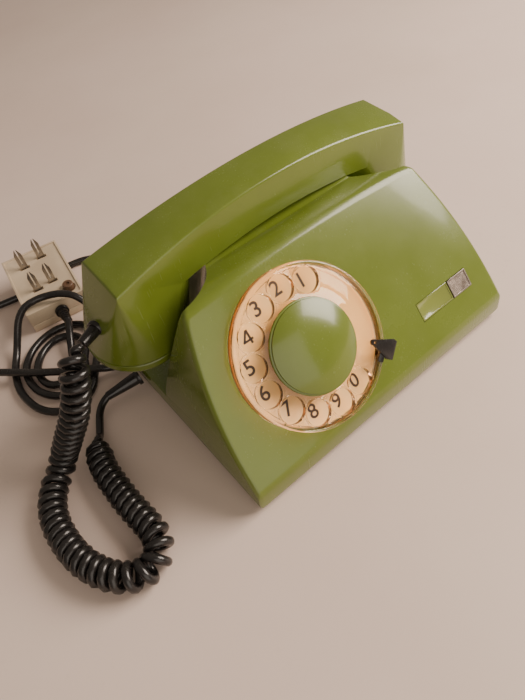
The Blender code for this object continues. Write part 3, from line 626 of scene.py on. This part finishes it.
def clear_plastic(name, colour, wall_shade_colour, roughness):
    """Clear moulded plastic: walls seen side on painted a darker amber as painted shade, lamps
    shine through it.
    """
    paint, tree, shader, coords = new_material(name)
    marked = group_node(tree, HANDLING, coords, density=0.8).outputs["Mask"]
    skin = group_node(tree, SKIN, coords, grain=0.05)
    tone = ramp(tree, skin.outputs["Mottle"], 0.3, 0.7)
    base = mixed(tree, tone, colour, [channel * 0.96 for channel in colour])
    geometry = tree.nodes.new("ShaderNodeNewGeometry")
    facing = tree.nodes.new("ShaderNodeVectorMath")
    facing.operation = "DOT_PRODUCT"
    facing.inputs[1].default_value = FACE_OUT
    tree.links.new(geometry.outputs["Normal"], facing.inputs[0])
    side_on = math_node(tree, "ABSOLUTE", facing.outputs["Value"], 0.0)
    # painted shade: faces seen side on, the walls of the rim and the holes, get the darker amber
    # colour
    wall = ramp(tree, side_on, 0.15, 0.85, 1.0, 0.0)
    base = mixed(tree, wall, base, wall_shade_colour)
    gloss = math_node(tree, "MULTIPLY", marked, 0.2)
    gloss = math_node(tree, "ADD", gloss, roughness)
    paint_with(tree, shader, base, gloss)
    shader.inputs["Transmission Weight"].default_value = 1.0
    shader.inputs["IOR"].default_value = 1.49
    bump(tree, shader, skin.outputs["Height"], 0.05, 0.0002)
    lamps = tree.nodes.new("ShaderNodeBsdfTransparent")
    lamps.inputs["Color"].default_value = (0.93, 0.86, 0.76, 1.0)
    rays = tree.nodes.new("ShaderNodeLightPath")
    either = tree.nodes.new("ShaderNodeMixShader")
    tree.links.new(rays.outputs["Is Shadow Ray"], either.inputs[0])
    tree.links.new(shader.outputs["BSDF"], either.inputs[1])
    tree.links.new(lamps.outputs["BSDF"], either.inputs[2])
    output = tree.nodes["Material Output"]
    tree.links.new(either.outputs["Shader"], output.inputs["Surface"])
    return paint


def laminate(name, colour, shade):
    """Resin board with a woven look."""
    paint, tree, shader, coords = new_material(name)
    wave = add_node(tree, "ShaderNodeTexWave", "Vector", coords, scale=700.0, distortion=1.5)
    blotch = noise(tree, coords, 90.0, 4.0)
    factor = math_node(tree, "MULTIPLY", wave.outputs["Fac"], blotch)
    gloss = ramp(tree, blotch, 0.3, 0.7, 0.35, 0.6)
    paint_with(tree, shader, mixed(tree, factor, colour, shade), gloss)
    bump(tree, shader, wave.outputs["Fac"], 0.2, 0.0001)
    return paint


GREEN = moulded_plastic("green_plastic", (0.112, 0.152, 0.016), (0.126, 0.170, 0.019), 0.24,
                        marks=0.5, dust=0.10, grain=0.15, coat=0.25)
CREAM = moulded_plastic("cream_plate", (0.90, 0.57, 0.24), (0.86, 0.51, 0.20), 0.35,
                        marks=0.3, dust=0.05)
DIGIT = moulded_plastic("digit_print", (0.030, 0.016, 0.010), (0.050, 0.026, 0.015), 0.45,
                        marks=0.2, dust=0.0)
AMBER = clear_plastic("clear_wheel", (1.0, 0.95, 0.86), (0.40, 0.20, 0.10), 0.03)
STRIP = moulded_plastic("badge_strip", (0.170, 0.205, 0.040), (0.190, 0.225, 0.050), 0.14,
                        marks=0.5, dust=0.1, coat=0.6)
KNURL = bare_metal("knurled_metal", (0.36, 0.31, 0.27), (0.12, 0.095, 0.075), 0.30, 0.8)
BLACK = moulded_plastic("black_plastic", (0.012, 0.011, 0.011), (0.018, 0.016, 0.015), 0.22,
                        marks=0.7, dust=0.15)
CORD = moulded_plastic("cord_sheath", (0.010, 0.009, 0.009), (0.016, 0.014, 0.013), 0.24,
                       marks=0.8, dust=0.08, grain=0.3)
FOOT = moulded_plastic("foot_rubber", (0.020, 0.019, 0.018), (0.034, 0.032, 0.030), 0.75,
                       marks=0.3, dust=0.2, grain=1.0)
STEEL = bare_metal("plated_steel", (0.60, 0.60, 0.60), (0.28, 0.25, 0.21), 0.26)
BLADE = bare_metal("blade_metal", (0.46, 0.43, 0.39), (0.14, 0.11, 0.09), 0.30, 0.8)
BRASS = bare_metal("gong_brass", (0.76, 0.56, 0.25), (0.34, 0.22, 0.09), 0.24)
BOARD = laminate("board_laminate", (0.20, 0.085, 0.030), (0.34, 0.17, 0.07))
PANEL = moulded_plastic("base_paint", (0.030, 0.029, 0.028), (0.045, 0.043, 0.041), 0.45,
                        marks=0.9, dust=0.2, grain=0.8)
IVORY = moulded_plastic("ivory_plastic", (0.60, 0.49, 0.35), (0.48, 0.38, 0.26), 0.38,
                        marks=0.7, dust=0.15)
BROWN = moulded_plastic("brown_plastic", (0.090, 0.045, 0.024), (0.13, 0.070, 0.036), 0.42,
                        marks=0.4, dust=0.1)

CARRIED_OVER = (
    (STEEL, ("base_screw_front", "base_screw_rear", "dial_case", "dial_shaft",
             "governor_shaft", "governor_drum", "hook_rocker", "hook_pin",
             "hook_bracket_left", "hook_bracket_right", "gong_post_left", "gong_post_right",
             "clapper", "clapper_pin", "induction_coil", "capacitor",
             "transmitter_capsule", "receiver_capsule")),
    (BRASS, ("main_gear", "governor_pinion", "gong_left", "gong_right", "ringer_coil")),
    (BLACK, ("plunger_left", "plunger_right", "switch_block", "terminal_block",
             "finger_stop")),
    (FOOT, ("foot_front_left", "foot_front_right", "foot_rear_left", "foot_rear_right")),
    (BOARD, ("circuit_board",)),
    (PANEL, ("base_plate",)),
    (GREEN, ("housing", "handset_shell", "mouthpiece_cap", "earpiece_cap", "centre_cap")),
    (CREAM, ("number_plate",)),
    (AMBER, ("finger_wheel",)),
    (STRIP, ("badge_strip",)),
    (KNURL, ("badge_insert",)),
    (IVORY, ("plug_body",)),
    (BROWN, ("plug_key",)),
    (BLADE, ("plug_blade_1", "plug_blade_2", "plug_blade_3", "plug_blade_4")),
    (CORD, ("line_cord_sleeve", "handset_cord_sleeve", "handset_end_sleeve", "plug_sleeve")),
)


def paint_carried_over():
    for paint, nodes in CARRIED_OVER:
        for name in nodes:
            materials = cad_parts[name].data.materials
            materials.clear()
            materials.append(paint)


# ---------------------------------------------------------------- cords

def smooth_line(points, spacing):
    """Points at even spacing on a smooth curve through the route's own points, in metres."""
    ends = [2 * points[0] - points[1]] + points + [2 * points[-1] - points[-2]]
    fine = []
    steps = 24
    for before, here, after, beyond in zip(ends, ends[1:], ends[2:], ends[3:]):
        for step in range(steps):
            t = step / steps
            fine.append(0.5 * (
                2 * here + (after - before) * t
                + (2 * before - 5 * here + 4 * after - beyond) * t ** 2
                + (3 * here - before - 3 * after + beyond) * t ** 3
            ))
    fine.append(points[-1])
    lengths = [0.0]
    for first, second in zip(fine, fine[1:]):
        lengths.append(lengths[-1] + (second - first).length)
    count = max(2, round(lengths[-1] / spacing))
    picked = []
    index = 0
    for step in range(count + 1):
        goal = lengths[-1] * step / count
        while index < len(fine) - 2 and lengths[index + 1] < goal:
            index += 1
        share = (goal - lengths[index]) / (lengths[index + 1] - lengths[index])
        picked.append(fine[index].lerp(fine[index + 1], share))
    return picked


def kept_above(points, radius):
    """Points lifted where a cord of this radius would dip into the table."""
    for point in points:
        point.z = max(point.z, (radius + OFF_TABLE) * MM)
    return points


def swept_cord(name, points, radius):
    """A round cord along points in metres, as a mesh with closed ends."""
    data = bpy.data.curves.new(name, "CURVE")
    data.dimensions = "3D"
    data.bevel_depth = radius * MM
    data.bevel_resolution = CORD_SIDES // 2 - 2
    data.use_fill_caps = True
    spline = data.splines.new("POLY")
    spline.points.add(len(points) - 1)
    for place, point in zip(spline.points, points):
        place.co = (*point, 1.0)
    only(in_scene(name, data))
    bpy.ops.object.convert(target="MESH")
    return bpy.context.object


def gentle(share):
    """0 to 1 with no kink at either end."""
    share = min(1.0, max(0.0, share))
    return share * share * (3 - 2 * share)


def store_points():
    """The spare length: turns of one size lying on each other, each lifted over the last."""
    first, last = STORE_TURN
    steps = 44
    points = []
    for step in range(1, steps):
        angle = first + (last - first) * step / steps
        lifts = gentle((angle - 350.0) / 70.0) + gentle((angle - 710.0) / 70.0)
        height = 2.6 + 5.3 * lifts
        turn = math.radians(angle)
        points.append(body_point(STORE_CENTRE[0] + STORE_RADIUS * math.cos(turn),
                                 STORE_CENTRE[1] + STORE_RADIUS * math.sin(turn), height))
    return points


def make_line_cord():
    """From the rear sleeve past the plug to the stored turns, back in loops, to the plug."""
    route = [body_point(*point) for point in (LINE_SLEEVE_END,) + LINE_BACK_ROUTE]
    route += store_points()
    route += [body_point(*point) for point in LINE_LOOP_ROUTE + (PLUG_SLEEVE_END,)]
    points = kept_above(smooth_line(route, 0.004), LINE_RADIUS)
    cord = swept_cord("line_cord", points, LINE_RADIUS)
    finish_piece(cord, CORD, "base",
                 ("line_cord_back", "line_cord_ring", "line_cord_loops"), angle=60.0)


def coil_points(route, radius):
    """A strand wound round a route, its turns opened where the route bends."""
    line = smooth_line(route, 0.0005)
    lengths = [0.0]
    for first, second in zip(line, line[1:]):
        lengths.append(lengths[-1] + (second - first).length)
    total = lengths[-1]
    across = Vector((0.0, 0.0, 1.0)).cross(line[1] - line[0]).normalized()
    points = []
    phase = 0.0
    next_mark = 0.0
    reach = 30
    for index in range(len(line) - 1):
        along = (line[index + 1] - line[index]).normalized()
        across = (across - along * across.dot(along)).normalized()
        other = along.cross(across)
        before = line[max(0, index - reach)]
        after = line[min(len(line) - 1, index + reach)]
        here = line[index]
        way_in = (here - before).normalized() if index else along
        way_out = (after - here).normalized()
        bend = way_in.angle(way_out, 0.0) / max(1e-6, (after - before).length / 2)
        share = min(0.34, radius * bend)
        pitch = max(COIL_PITCH, 2 * STRAND_RADIUS * 1.01 / (1.0 - share)) * MM
        grown = gentle(lengths[index] / COIL_FADE) * gentle((total - lengths[index]) / COIL_FADE)
        if phase >= next_mark:
            offset = across * math.cos(phase) + other * math.sin(phase)
            points.append(here + offset * radius * grown)
            next_mark += math.tau / 18
        phase += math.tau * (lengths[index + 1] - lengths[index]) / pitch
    return points


def make_curly_cord():
    """One strand from the handset's sleeve, through the coil, to the sleeve in the wall."""
    route = [body_point(*point) for point in CURLY_ROUTE]
    radius = (COIL_RADIUS - STRAND_RADIUS) * MM
    points = coil_points(route, radius)
    tail = smooth_line([points[-1]] + [body_point(*point) for point in TAIL_ROUTE], 0.0025)
    points = kept_above(points + tail[1:], STRAND_RADIUS)
    cord = swept_cord("curly_cord_strand", points, STRAND_RADIUS)
    finish_piece(cord, CORD, None, ("curly_cord", "curly_cord_tail"), angle=60.0)
    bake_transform(cord)


# ---------------------------------------------------------------- housing

def mirror_x(points):
    return [(-x, y, z) for x, y, z in points]


def wedge_points(inset):
    """Points all round the wedge, moved inwards by a wall thickness."""
    bottom = LOWER_EDGE if inset == 0 else -5.0
    out_y = -FACE_OUT.y * inset
    out_z = -FACE_OUT.z * inset
    rear = DEPTH - inset
    side = [
        (HALF_WIDTH - inset, inset, bottom),
        (HALF_WIDTH - inset, inset, RIM_TOP),
        (FLOOR_HALF_WIDTH - inset, rear, bottom),
        (REAR_HALF_WIDTH - inset, rear, RIM_TOP),
        (BACK_TOP[0] - inset, BACK_TOP[1] - inset, BACK_TOP[2] - inset),
    ]
    steps = 14
    for step in range(1, steps + 1):
        share = step / steps
        straight = HALF_WIDTH + (RIDGE_HALF_WIDTH - HALF_WIDTH) * share
        width = straight + 4 * FACE_BOW * share * (1 - share)
        height = RIM_TOP + (RIDGE_Z - RIM_TOP) * share
        side.append((width - inset, RIDGE_Y * share + out_y, height + out_z))
    for step in range(steps):
        across = step / steps
        rise = 1 - across ** 2
        y = RIDGE_Y + RIDGE_ARCH[0] * rise + out_y
        z = RIDGE_Z + RIDGE_ARCH[1] * rise + out_z
        side.append((across * RIDGE_HALF_WIDTH, y, z))
    return side + mirror_x(side)


def recess_cutter(side, grow):
    """The leaning round-ended space for one end of the handset."""
    radius = RECESS_RADIUS + grow
    plan = [(radius, 80.0)]
    plan += arc((0.0, 0.0), radius, 0.0, -90.0, 26)
    plan += [(-60.0, -radius), (-60.0, 80.0)]
    rings = []
    for z in (RECESS_FLOOR - grow, RECESS_TOP):
        share = (z - RECESS_LOW[2]) / (RECESS_HIGH[2] - RECESS_LOW[2])
        x = -(RECESS_LOW[0] + (RECESS_HIGH[0] - RECESS_LOW[0]) * share)
        y = RECESS_LOW[1] + (RECESS_HIGH[1] - RECESS_LOW[1]) * share
        rings.append([(side * (x + dx), y + dy, z) for dx, dy in plan])
    return lofted("recess_cutter", rings)


def saddle_cutter(drop):
    rings = [[(x, y, z - drop) for y, z in SADDLE] for x in (-110.0, 110.0)]
    return lofted("saddle_cutter", rings)


def across_to_body(piece, matrix):
    """Bring a cutter drawn in another frame to body millimetres."""
    return set_place(piece, LEVEL.inverted() @ matrix)


def make_housing():
    shell = shrunk("housing_shell", wedge_points(0.0))
    soften(shell, 3.0, 6, 26.0)
    combine(shell, saddle_cutter(0.0))
    for side in (1, -1):
        combine(shell, recess_cutter(side, 0.0))
    soften(shell, 0.7, 3, 38.0)
    cavity = shrunk("cavity", wedge_points(WALL))
    combine(cavity, saddle_cutter(WALL))
    for side in (1, -1):
        combine(cavity, recess_cutter(side, WALL))
    combine(shell, cavity)
    hole = rod("dial_hole", CASE_RADIUS + 0.5, -9.0, 6.0, 96)
    combine(shell, across_to_body(hole, DIAL))
    for side in (-1, 1):
        bore = rod("plunger_bore", 3.5, -16.5, -4.0)
        combine(shell, across_to_body(bore, moved(HANDSET, side * PLUNGER_X, 0.0, 0.0)))
    recess = box("badge_recess", (*BADGE_LOW, -1.0), (*BADGE_HIGH, 6.0))
    combine(shell, across_to_body(recess, FACE))
    finish_piece(shell, GREEN, "base", ["housing"], LEVEL, 24.0)


def sunk_top(piece, border, depth):
    """Sink a block's top inside a border."""
    edit(piece)
    pick_faces(piece, lambda middle, normal: normal.z > 0.9)
    bpy.ops.mesh.inset(thickness=border)
    bpy.ops.mesh.extrude_region_move(TRANSFORM_OT_translate={"value": (0, 0, -depth)})
    leave_edit()


def make_badge():
    """A tinted strip in a thin frame, and a knurled metal plate beside it."""
    low = (BADGE_LOW[0] + GAP, BADGE_LOW[1] + GAP, -0.7)
    high = (BADGE_SPLIT - GAP, BADGE_HIGH[1] - GAP, 0.1)
    strip = box("badge_window", low, high)
    sunk_top(strip, 0.8, 0.35)
    soften(strip, 0.12, 2)
    finish_piece(strip, STRIP, "base", ["badge_strip"], FACE)
    low = (BADGE_SPLIT, BADGE_LOW[1] + GAP, -0.7)
    high = (BADGE_HIGH[0] - GAP, BADGE_HIGH[1] - GAP, 0.7)
    plate = box("badge_plate", low, high)
    sunk_top(plate, 0.9, 0.45)
    soften(plate, 0.15, 2)
    middle = ((low[0] + high[0]) / 2, (low[1] + high[1]) / 2, 0.26)
    grid = begin("knurl", bpy.ops.mesh.primitive_grid_add, x_subdivisions=16,
                 y_subdivisions=12, size=1.0, location=middle)
    grid.scale = (high[0] - low[0] - 1.8, high[1] - low[1] - 1.8, 1.0)
    bpy.ops.object.transform_apply(location=True, rotation=True, scale=True)
    edit(grid)
    pick_all()
    bpy.ops.mesh.poke(offset=0.38)
    leave_edit()
    plate = joined([plate, grid], "badge_plate")
    finish_piece(plate, KNURL, "base", ["badge_insert"], FACE, 20.0)


# ---------------------------------------------------------------- dial

def hole_places():
    """Middles of the ten finger holes, from the first digit on."""
    angles = [math.radians(FIRST_HOLE + HOLE_PITCH * index) for index in range(10)]
    return [(HOLE_CIRCLE * math.cos(angle), HOLE_CIRCLE * math.sin(angle)) for angle in angles]


def open_four(x, y):
    """A four in three strokes, so that its small opening stays open."""
    strokes = []
    for outline in (((0.9, -3.7), (2.1, -3.7), (2.1, 3.7), (0.9, 3.7)),
                    ((-2.9, -2.1), (3.1, -2.1), (3.1, -1.0), (-2.9, -1.0)),
                    ((-2.9, -1.4), (-1.5, -1.4), (2.0, 3.7), (0.7, 3.7))):
        rings = [[(x + across, y + up, DIGIT_LEVEL + rise) for across, up in outline]
                 for rise in (-DIGIT_DEPTH, DIGIT_DEPTH)]
        strokes.append(lofted("stroke", rings))
    return strokes


def make_number_plate():
    outline = [(4.2, GAP), (PLATE_RADIUS, GAP), (PLATE_RADIUS, 0.9), (PLATE_RADIUS - 0.4, 1.3)]
    outline += [(PLATE_RADIUS - 1.2, 1.3), (PLATE_RADIUS - 1.5, 1.1), (4.2, 1.1)]
    plate = spun("number_disc", outline, 128)
    finish_piece(plate, CREAM, "base", ["number_plate"], DIAL)
    digits = []
    for number, (x, y) in enumerate(hole_places(), 1):
        if number == 4:
            digits += open_four(x, y)
            continue
        nothing_selected()
        bpy.ops.object.text_add(location=(x, y, DIGIT_LEVEL))
        digit = bpy.context.object
        digit.data.body = str(number % 10)
        digit.data.size = DIGIT_SIZE
        digit.data.align_x = "CENTER"
        digit.data.align_y = "CENTER"
        digit.data.offset = 0.14
        digit.data.extrude = DIGIT_DEPTH
        digit.data.resolution_u = 6
        bpy.ops.object.convert(target="MESH")
        digit = bpy.context.object
        bpy.ops.object.transform_apply(location=True, rotation=True, scale=True)
        edit(digit)
        pick_all()
        bpy.ops.mesh.remove_doubles(threshold=0.001)
        leave_edit()
        digits.append(digit)
    numbers = joined(digits, "dial_numbers")
    finish_piece(numbers, DIGIT, "base", (), DIAL)


def make_finger_wheel():
    """Clear moulded wheel: rolled rim, a raised lip round each finger hole."""
    edge = WHEEL_RADIUS
    outline = [(3.4, 4.4), (edge - 1.1, 4.4), (edge - 1.1, 0.8), (edge - 0.3, 0.8), (edge, 1.1)]
    outline += arc((edge - 1.3, 6.2), 1.3, 0.0, 90.0, 8)
    outline += arc((edge - 2.6, 7.1), 0.4, 90.0, 180.0, 3)[1:]
    outline += [(edge - 3.2, 6.8), (27.0, 6.8), (26.0, WHEEL_TOP), (3.4, WHEEL_TOP)]
    wheel = spun("dial_wheel", outline, 144)
    cuts = ((HOLE_RADIUS + 1.1, 5.2, 7.3, "UNION"), (HOLE_RADIUS, 0.0, 10.0, "DIFFERENCE"))
    for radius, low, high, operation in cuts:
        for x, y in hole_places():
            combine(wheel, rod_at("hole", radius, low, high, x, y, 48), operation)
    soften(wheel, 0.35, 3, 50.0)
    finish_piece(wheel, AMBER, "dial", ["finger_wheel"], DIAL, 30.0)


def make_centre_cap():
    """Low dome with a stepped edge."""
    outline = [(0.0, 13.0), (14.0, 11.9), (21.0, 9.6), (22.6, WHEEL_TOP + GAP)]
    outline += [(CAP_RADIUS - 0.3, WHEEL_TOP + GAP), (CAP_RADIUS, WHEEL_TOP + 0.6)]
    outline += arc((CAP_RADIUS - 0.5, 8.6), 0.5, 0.0, 80.0, 4)
    outline += [(CAP_RADIUS - 1.0, 9.2)]
    rim = CAP_RADIUS - 1.2
    steps = 22
    for step in range(steps, -1, -1):
        share = step / steps
        outline.append((rim * share, 14.3 - 4.3 * share ** 2.4))
    cap = spun("cap_dome", outline, 128)
    finish_piece(cap, GREEN, "dial", ["centre_cap"], DIAL, 40.0)


def make_finger_stop():
    """Pointed plate over the wheel on a post, with a hook under its lower side."""
    plan = [(44.0, -6.0), (47.4, -5.4), (47.4, 4.8), (45.0, 5.4)]
    plan += arc((STOP_TIP, 0.0), 1.7, 70.0, 290.0, 10)
    rings = [[(r, s, z + 0.05 * (48.4 - r)) for r, s in plan] for z in (9.6, 11.2)]
    pointer = lofted("stop_pointer", rings)
    combine(pointer, rod_at("rivet_hole", 0.75, 7.0, 14.0, STOP_TIP + 0.8, 0.0, 20))
    post = box("post", (43.9, -4.2, GAP), (47.4, 4.2, 10.4))
    edit(post)
    pick_faces(post, lambda middle, normal: normal.z < -0.9)
    bpy.ops.transform.resize(value=(1.0, 0.8, 1.0))
    leave_edit()
    combine(pointer, post, "UNION")
    hook = box("hook", (39.6, -8.2, 8.0), (42.8, -3.0, 10.2))
    combine(pointer, hook, "UNION")
    soften(pointer, 0.3, 3, 40.0)
    matrix = moved(DIAL @ Matrix.Rotation(math.radians(STOP_ANGLE), 4, "Z"), STOP_TIP, 0.0, 0.0)
    matrix = moved(matrix @ Matrix.Rotation(STOP_SKEW, 4, "Z"), -STOP_TIP, 0.0, 0.0)
    finish_piece(pointer, BLACK, "base", ["finger_stop"], matrix, 30.0)


# ---------------------------------------------------------------- handset

def arch_height(x):
    return ARCH * (1 - (x / TOP_HALF_LENGTH) ** 2)


def grip_half_width(x):
    """The front and back facets are flat, so the top narrows as it rises."""
    return BELL_RADIUS - (arch_height(x) - SEAM) / FACET_SLOPE


def grip_top(x):
    """Front crease, the faint crease behind it and the back edge, at one station."""
    wide = grip_half_width(x)
    top = arch_height(x)
    return [(x, -wide, top), (x, -0.35 * wide, top + 0.9), (x, wide, top - 0.2)]


def bell_ring(sign, radius):
    points = []
    sides = 80
    for step in range(sides):
        turn = math.tau * step / sides
        points.append((sign * BELL_X + radius * math.cos(turn), radius * math.sin(turn), SEAM))
    return points


def make_handset():
    """One faceted skin over both ends, hollowed below the grip round the two bells."""
    points = bell_ring(-1, BELL_RADIUS) + bell_ring(1, BELL_RADIUS)
    stations = 56
    for step in range(stations + 1):
        points += grip_top(TOP_HALF_LENGTH * (2 * step / stations - 1))
    shell = shrunk("handset_body", points)
    soften(shell, 1.1, 5, 26.0)
    level = arch_height(SHOULDER) - GRIP_THICKNESS
    under = [(BELL_X, -60.0), (-BELL_X, -60.0), (-BELL_X, level)]
    steps = 40
    for step in range(steps + 1):
        x = SHOULDER * (2 * step / steps - 1)
        under.append((x, arch_height(x) - GRIP_THICKNESS))
    under.append((BELL_X, level))
    hollow = lofted("hollow", [[(x, y, z) for x, z in under] for y in (-40.0, 40.0)])
    for sign in (-1, 1):
        ring = bell_ring(sign, BELL_RADIUS + CLEAR)
        points = [(x, y, z - 10.0) for x, y, z in ring] + ring
        for x in BELL_STATIONS:
            wide = grip_half_width(min(x, TOP_HALF_LENGTH)) + CLEAR
            points += [(sign * x, side * wide, arch_height(x)) for side in (-1, 1)]
        combine(hollow, shrunk("bell", points))
    combine(shell, hollow)
    soften(shell, 0.9, 3, 50.0)
    for sign in (-1, 1):
        for radius, top in ((23.5, 9.5), (19.5, 16.0)):
            combine(shell, rod_at("bore", radius, SEAM - 5.0, SEAM + top, sign * BELL_X, 0.0, 96))
    finish_piece(shell, GREEN, "handset", ["handset_shell"], HANDSET, 22.0)


def make_cap(sign, name, node_name):
    """Screwed cap over one capsule, dished, with a pattern of small holes."""
    high = SEAM - GAP
    outline = [(0.0, CAP_LOW + 2.4), (18.0, CAP_LOW + 2.0), (21.0, high)]
    outline += [(BELL_RADIUS - 0.5, high), (BELL_RADIUS, high - 0.5)]
    outline += arc((BELL_RADIUS - 4.4, CAP_LOW + 4.4), 4.4, 0.0, -90.0, 10)
    outline += [(20.0, CAP_LOW), (17.0, CAP_LOW + 0.25), (0.0, CAP_LOW + 0.8)]
    cap = spun(name, outline, 96)
    for count, radius in ((1, 0.0), (6, 4.6), (12, 9.2)):
        for index in range(count):
            turn = math.tau * index / count
            x, y = radius * math.cos(turn), radius * math.sin(turn)
            combine(cap, rod_at("hole", 0.95, CAP_LOW - 3.0, CAP_LOW + 4.0, x, y, 16))
    finish_piece(cap, GREEN, "handset", [node_name],
                 moved(HANDSET, sign * BELL_X, 0.0, 0.0), 40.0)


# ---------------------------------------------------------------- plug and sleeves

def make_plug():
    width, length, height = PLUG_SIZE
    body = box("plug_case", (-width / 2, 0.0, 0.0), (width / 2, length, height))
    edit(body)
    for level in PLUG_GROOVE:
        pick_all()
        bpy.ops.mesh.bisect(plane_co=(0, 0, level), plane_no=(0, 0, 1))
    pick_faces(body, lambda middle, normal: PLUG_GROOVE[0] < middle.z < PLUG_GROOVE[1])
    bpy.ops.mesh.extrude_region_shrink_fatten(TRANSFORM_OT_shrink_fatten={"value": -0.5})
    pick_faces(body, lambda middle, normal: normal.z > 0.9 and middle.z > height - 0.1)
    bpy.ops.mesh.inset(thickness=1.5)
    bpy.ops.mesh.extrude_region_move(TRANSFORM_OT_translate={"value": (0, 0, -0.8)})
    leave_edit()
    for x, y in BLADE_PLACES:
        slot = box("slot", (x - 3.7, y - 1.5, height - 3.0), (x + 3.7, y + 1.5, height + 2.0))
        combine(body, slot)
    combine(body, rod_at("key_hole", 4.6, height - 2.0, height + 2.0, *PLUG_KEY, 40))
    soften(body, 0.7, 3, 50.0)
    finish_piece(body, IVORY, "base", ["plug_body"], PLUG, 30.0)
    for index, (x, y) in enumerate(BLADE_PLACES):
        blade = box("blade_%d" % (index + 1), (-2.7, -0.6, -2.2), (2.7, 0.6, 17.0))
        edit(blade)
        pick_all()
        bpy.ops.mesh.bisect(plane_co=(0, 0, 12.0), plane_no=(0, 0, 1))
        pick_points(blade, lambda place: place.z > 16.0)
        bpy.ops.transform.resize(value=(0.34, 0.5, 1.0))
        leave_edit()
        slit = box("slit", (-0.45, -2.0, 3.0), (0.45, 2.0, 20.0))
        combine(blade, slit)
        soften(blade, 0.16, 2, 30.0)
        finish_piece(blade, BLADE, "base", ["plug_blade_%d" % (index + 1)],
                     moved(PLUG, x, y, height))
    outline = [(0.0, -1.8), (3.8, -1.8), (3.8, 2.4)]
    outline += arc((2.9, 2.4), 0.9, 0.0, 90.0, 5)[1:]
    outline += [(1.6, 3.3), (1.3, 2.2), (0.0, 2.2)]
    key = spun("key_peg", outline, 48)
    finish_piece(key, BROWN, "base", ["plug_key"],
                 moved(PLUG, *PLUG_KEY, height))


def make_sleeve(name, node_name, body, start, end, wide, narrow, ribs):
    """Tapered strain relief with a collar; some have rings moulded along them."""
    along = Vector(end) - Vector(start)
    length = along.length
    outline = [(0.0, 0.0), (wide + 0.9, 0.0), (wide + 1.2, 0.3), (wide + 1.2, 2.1),
               (wide + 0.9, 2.5), (wide, 2.6), (wide, 4.6)]
    first, last = 4.6, length - 2.0
    for step in range(ribs):
        low = first + (last - first) * step / ribs
        high = first + (last - first) * (step + 1) / ribs
        radius = wide + (narrow - wide) * (low - first) / (last - first)
        outline += [(radius - 0.1, low + 0.2), (radius, low + 0.5), (radius - 0.1, high - 0.9),
                    (radius - 0.8, high - 0.7), (radius - 0.8, high - 0.1)]
    outline += [(narrow + 0.1, last), (narrow, length - 0.3), (narrow - 0.3, length),
                (0.0, length)]
    sleeve = spun(name, outline, 40)
    side = Vector((0, 0, 1)).cross(along)
    finish_piece(sleeve, CORD, body, [node_name], frame_at(start, side, along), 40.0)


def make_sleeves():
    wall = DEPTH + GAP
    make_sleeve("rear_relief", "line_cord_sleeve", "base", (-58.0, wall, 9.5),
                (-58.0, wall + 25.0, 9.5), 4.2, 2.9, 7)
    make_sleeve("side_relief", "handset_cord_sleeve", "base", (-95.6, 119.0, 9.0),
                (-118.2, 121.9, 6.8), 4.0, 2.7, 0)
    start, end = body_place(HANDSET, CORD_EXIT), body_place(HANDSET, CORD_EXIT_END)
    make_sleeve("handset_relief", "handset_end_sleeve", "handset", start, end, 3.4, 2.9, 0)
    start = body_place(PLUG, (1.5, -1.2, 10.0))
    make_sleeve("plug_relief", "plug_sleeve", "base", start, (-105.6, 197.1, 10.7),
                3.6, 2.8, 4)


# ---------------------------------------------------------------- surroundings

LENS = 29.56
CAMERA_PLACE = (-0.15132, -0.19720, 0.27175)
CAMERA_RIGHT = (0.75915, -0.63526, -0.14193)
CAMERA_UP = (0.55264, 0.5138, 0.6562)
TABLE_SIZE = 6.0
WORLD_COLOUR = (0.80, 0.68, 0.56, 1.0)
WORLD_STRENGTH = 0.34


def make_camera():
    data = bpy.data.cameras.new("camera")
    data.lens = LENS
    data.sensor_width = 36.0
    data.clip_start = 0.01
    camera = in_scene("camera", data)
    right, up = Vector(CAMERA_RIGHT), Vector(CAMERA_UP)
    turn = Matrix((right, up, right.cross(up))).transposed().to_4x4()
    camera.matrix_world = Matrix.Translation(CAMERA_PLACE) @ turn
    bpy.context.scene.camera = camera


def make_floor():
    floor = begin("floor", bpy.ops.mesh.primitive_plane_add, size=TABLE_SIZE)
    paint, tree, shader, coords = new_material("pale_table")
    patches = ramp(tree, noise(tree, coords, 3.5, 5.0, 0.6), 0.35, 0.7)
    base = mixed(tree, patches, (0.74, 0.60, 0.52), (0.68, 0.54, 0.46))
    marked = group_node(tree, HANDLING, stretched(tree, coords, (0.25, 0.25, 0.25)),
                        density=0.4).outputs["Mask"]
    base = mixed(tree, math_node(tree, "MULTIPLY", marked, 0.25), base, (0.42, 0.32, 0.27))
    tree.links.new(base, shader.inputs["Base Color"])
    shader.inputs["Roughness"].default_value = 0.5
    floor.data.materials.append(paint)


def area_light(name, place, target, size, power, colour):
    data = bpy.data.lights.new(name, "AREA")
    data.size = size
    data.energy = power
    data.color = colour
    light = in_scene(name, data)
    aim = Vector(target) - Vector(place)
    light.rotation_euler = aim.to_track_quat("-Z", "Y").to_euler()
    light.location = place


def make_lights():
    area_light("key", (0.95, -0.40, 0.75), (0.08, -0.05, 0.0), 0.8, 31.0, (1.0, 0.86, 0.75))
    area_light("sheen", (-0.30, -1.20, 0.55), (-0.05, 0.0, 0.05), 1.3, 8.0, (1.0, 0.90, 0.80))
    world = bpy.data.worlds.new("room")
    world.use_nodes = True
    background = world.node_tree.nodes["Background"]
    background.inputs["Color"].default_value = WORLD_COLOUR
    background.inputs["Strength"].default_value = WORLD_STRENGTH
    bpy.context.scene.world = world


def main():
    make_camera()
    make_floor()
    make_lights()
    paint_carried_over()
    make_housing()
    make_badge()
    make_number_plate()
    make_finger_wheel()
    make_centre_cap()
    make_finger_stop()
    make_handset()
    make_cap(-1, "mouthpiece", "mouthpiece_cap")
    make_cap(1, "earpiece", "earpiece_cap")
    make_plug()
    make_sleeves()
    make_line_cord()
    make_curly_cord()


main()
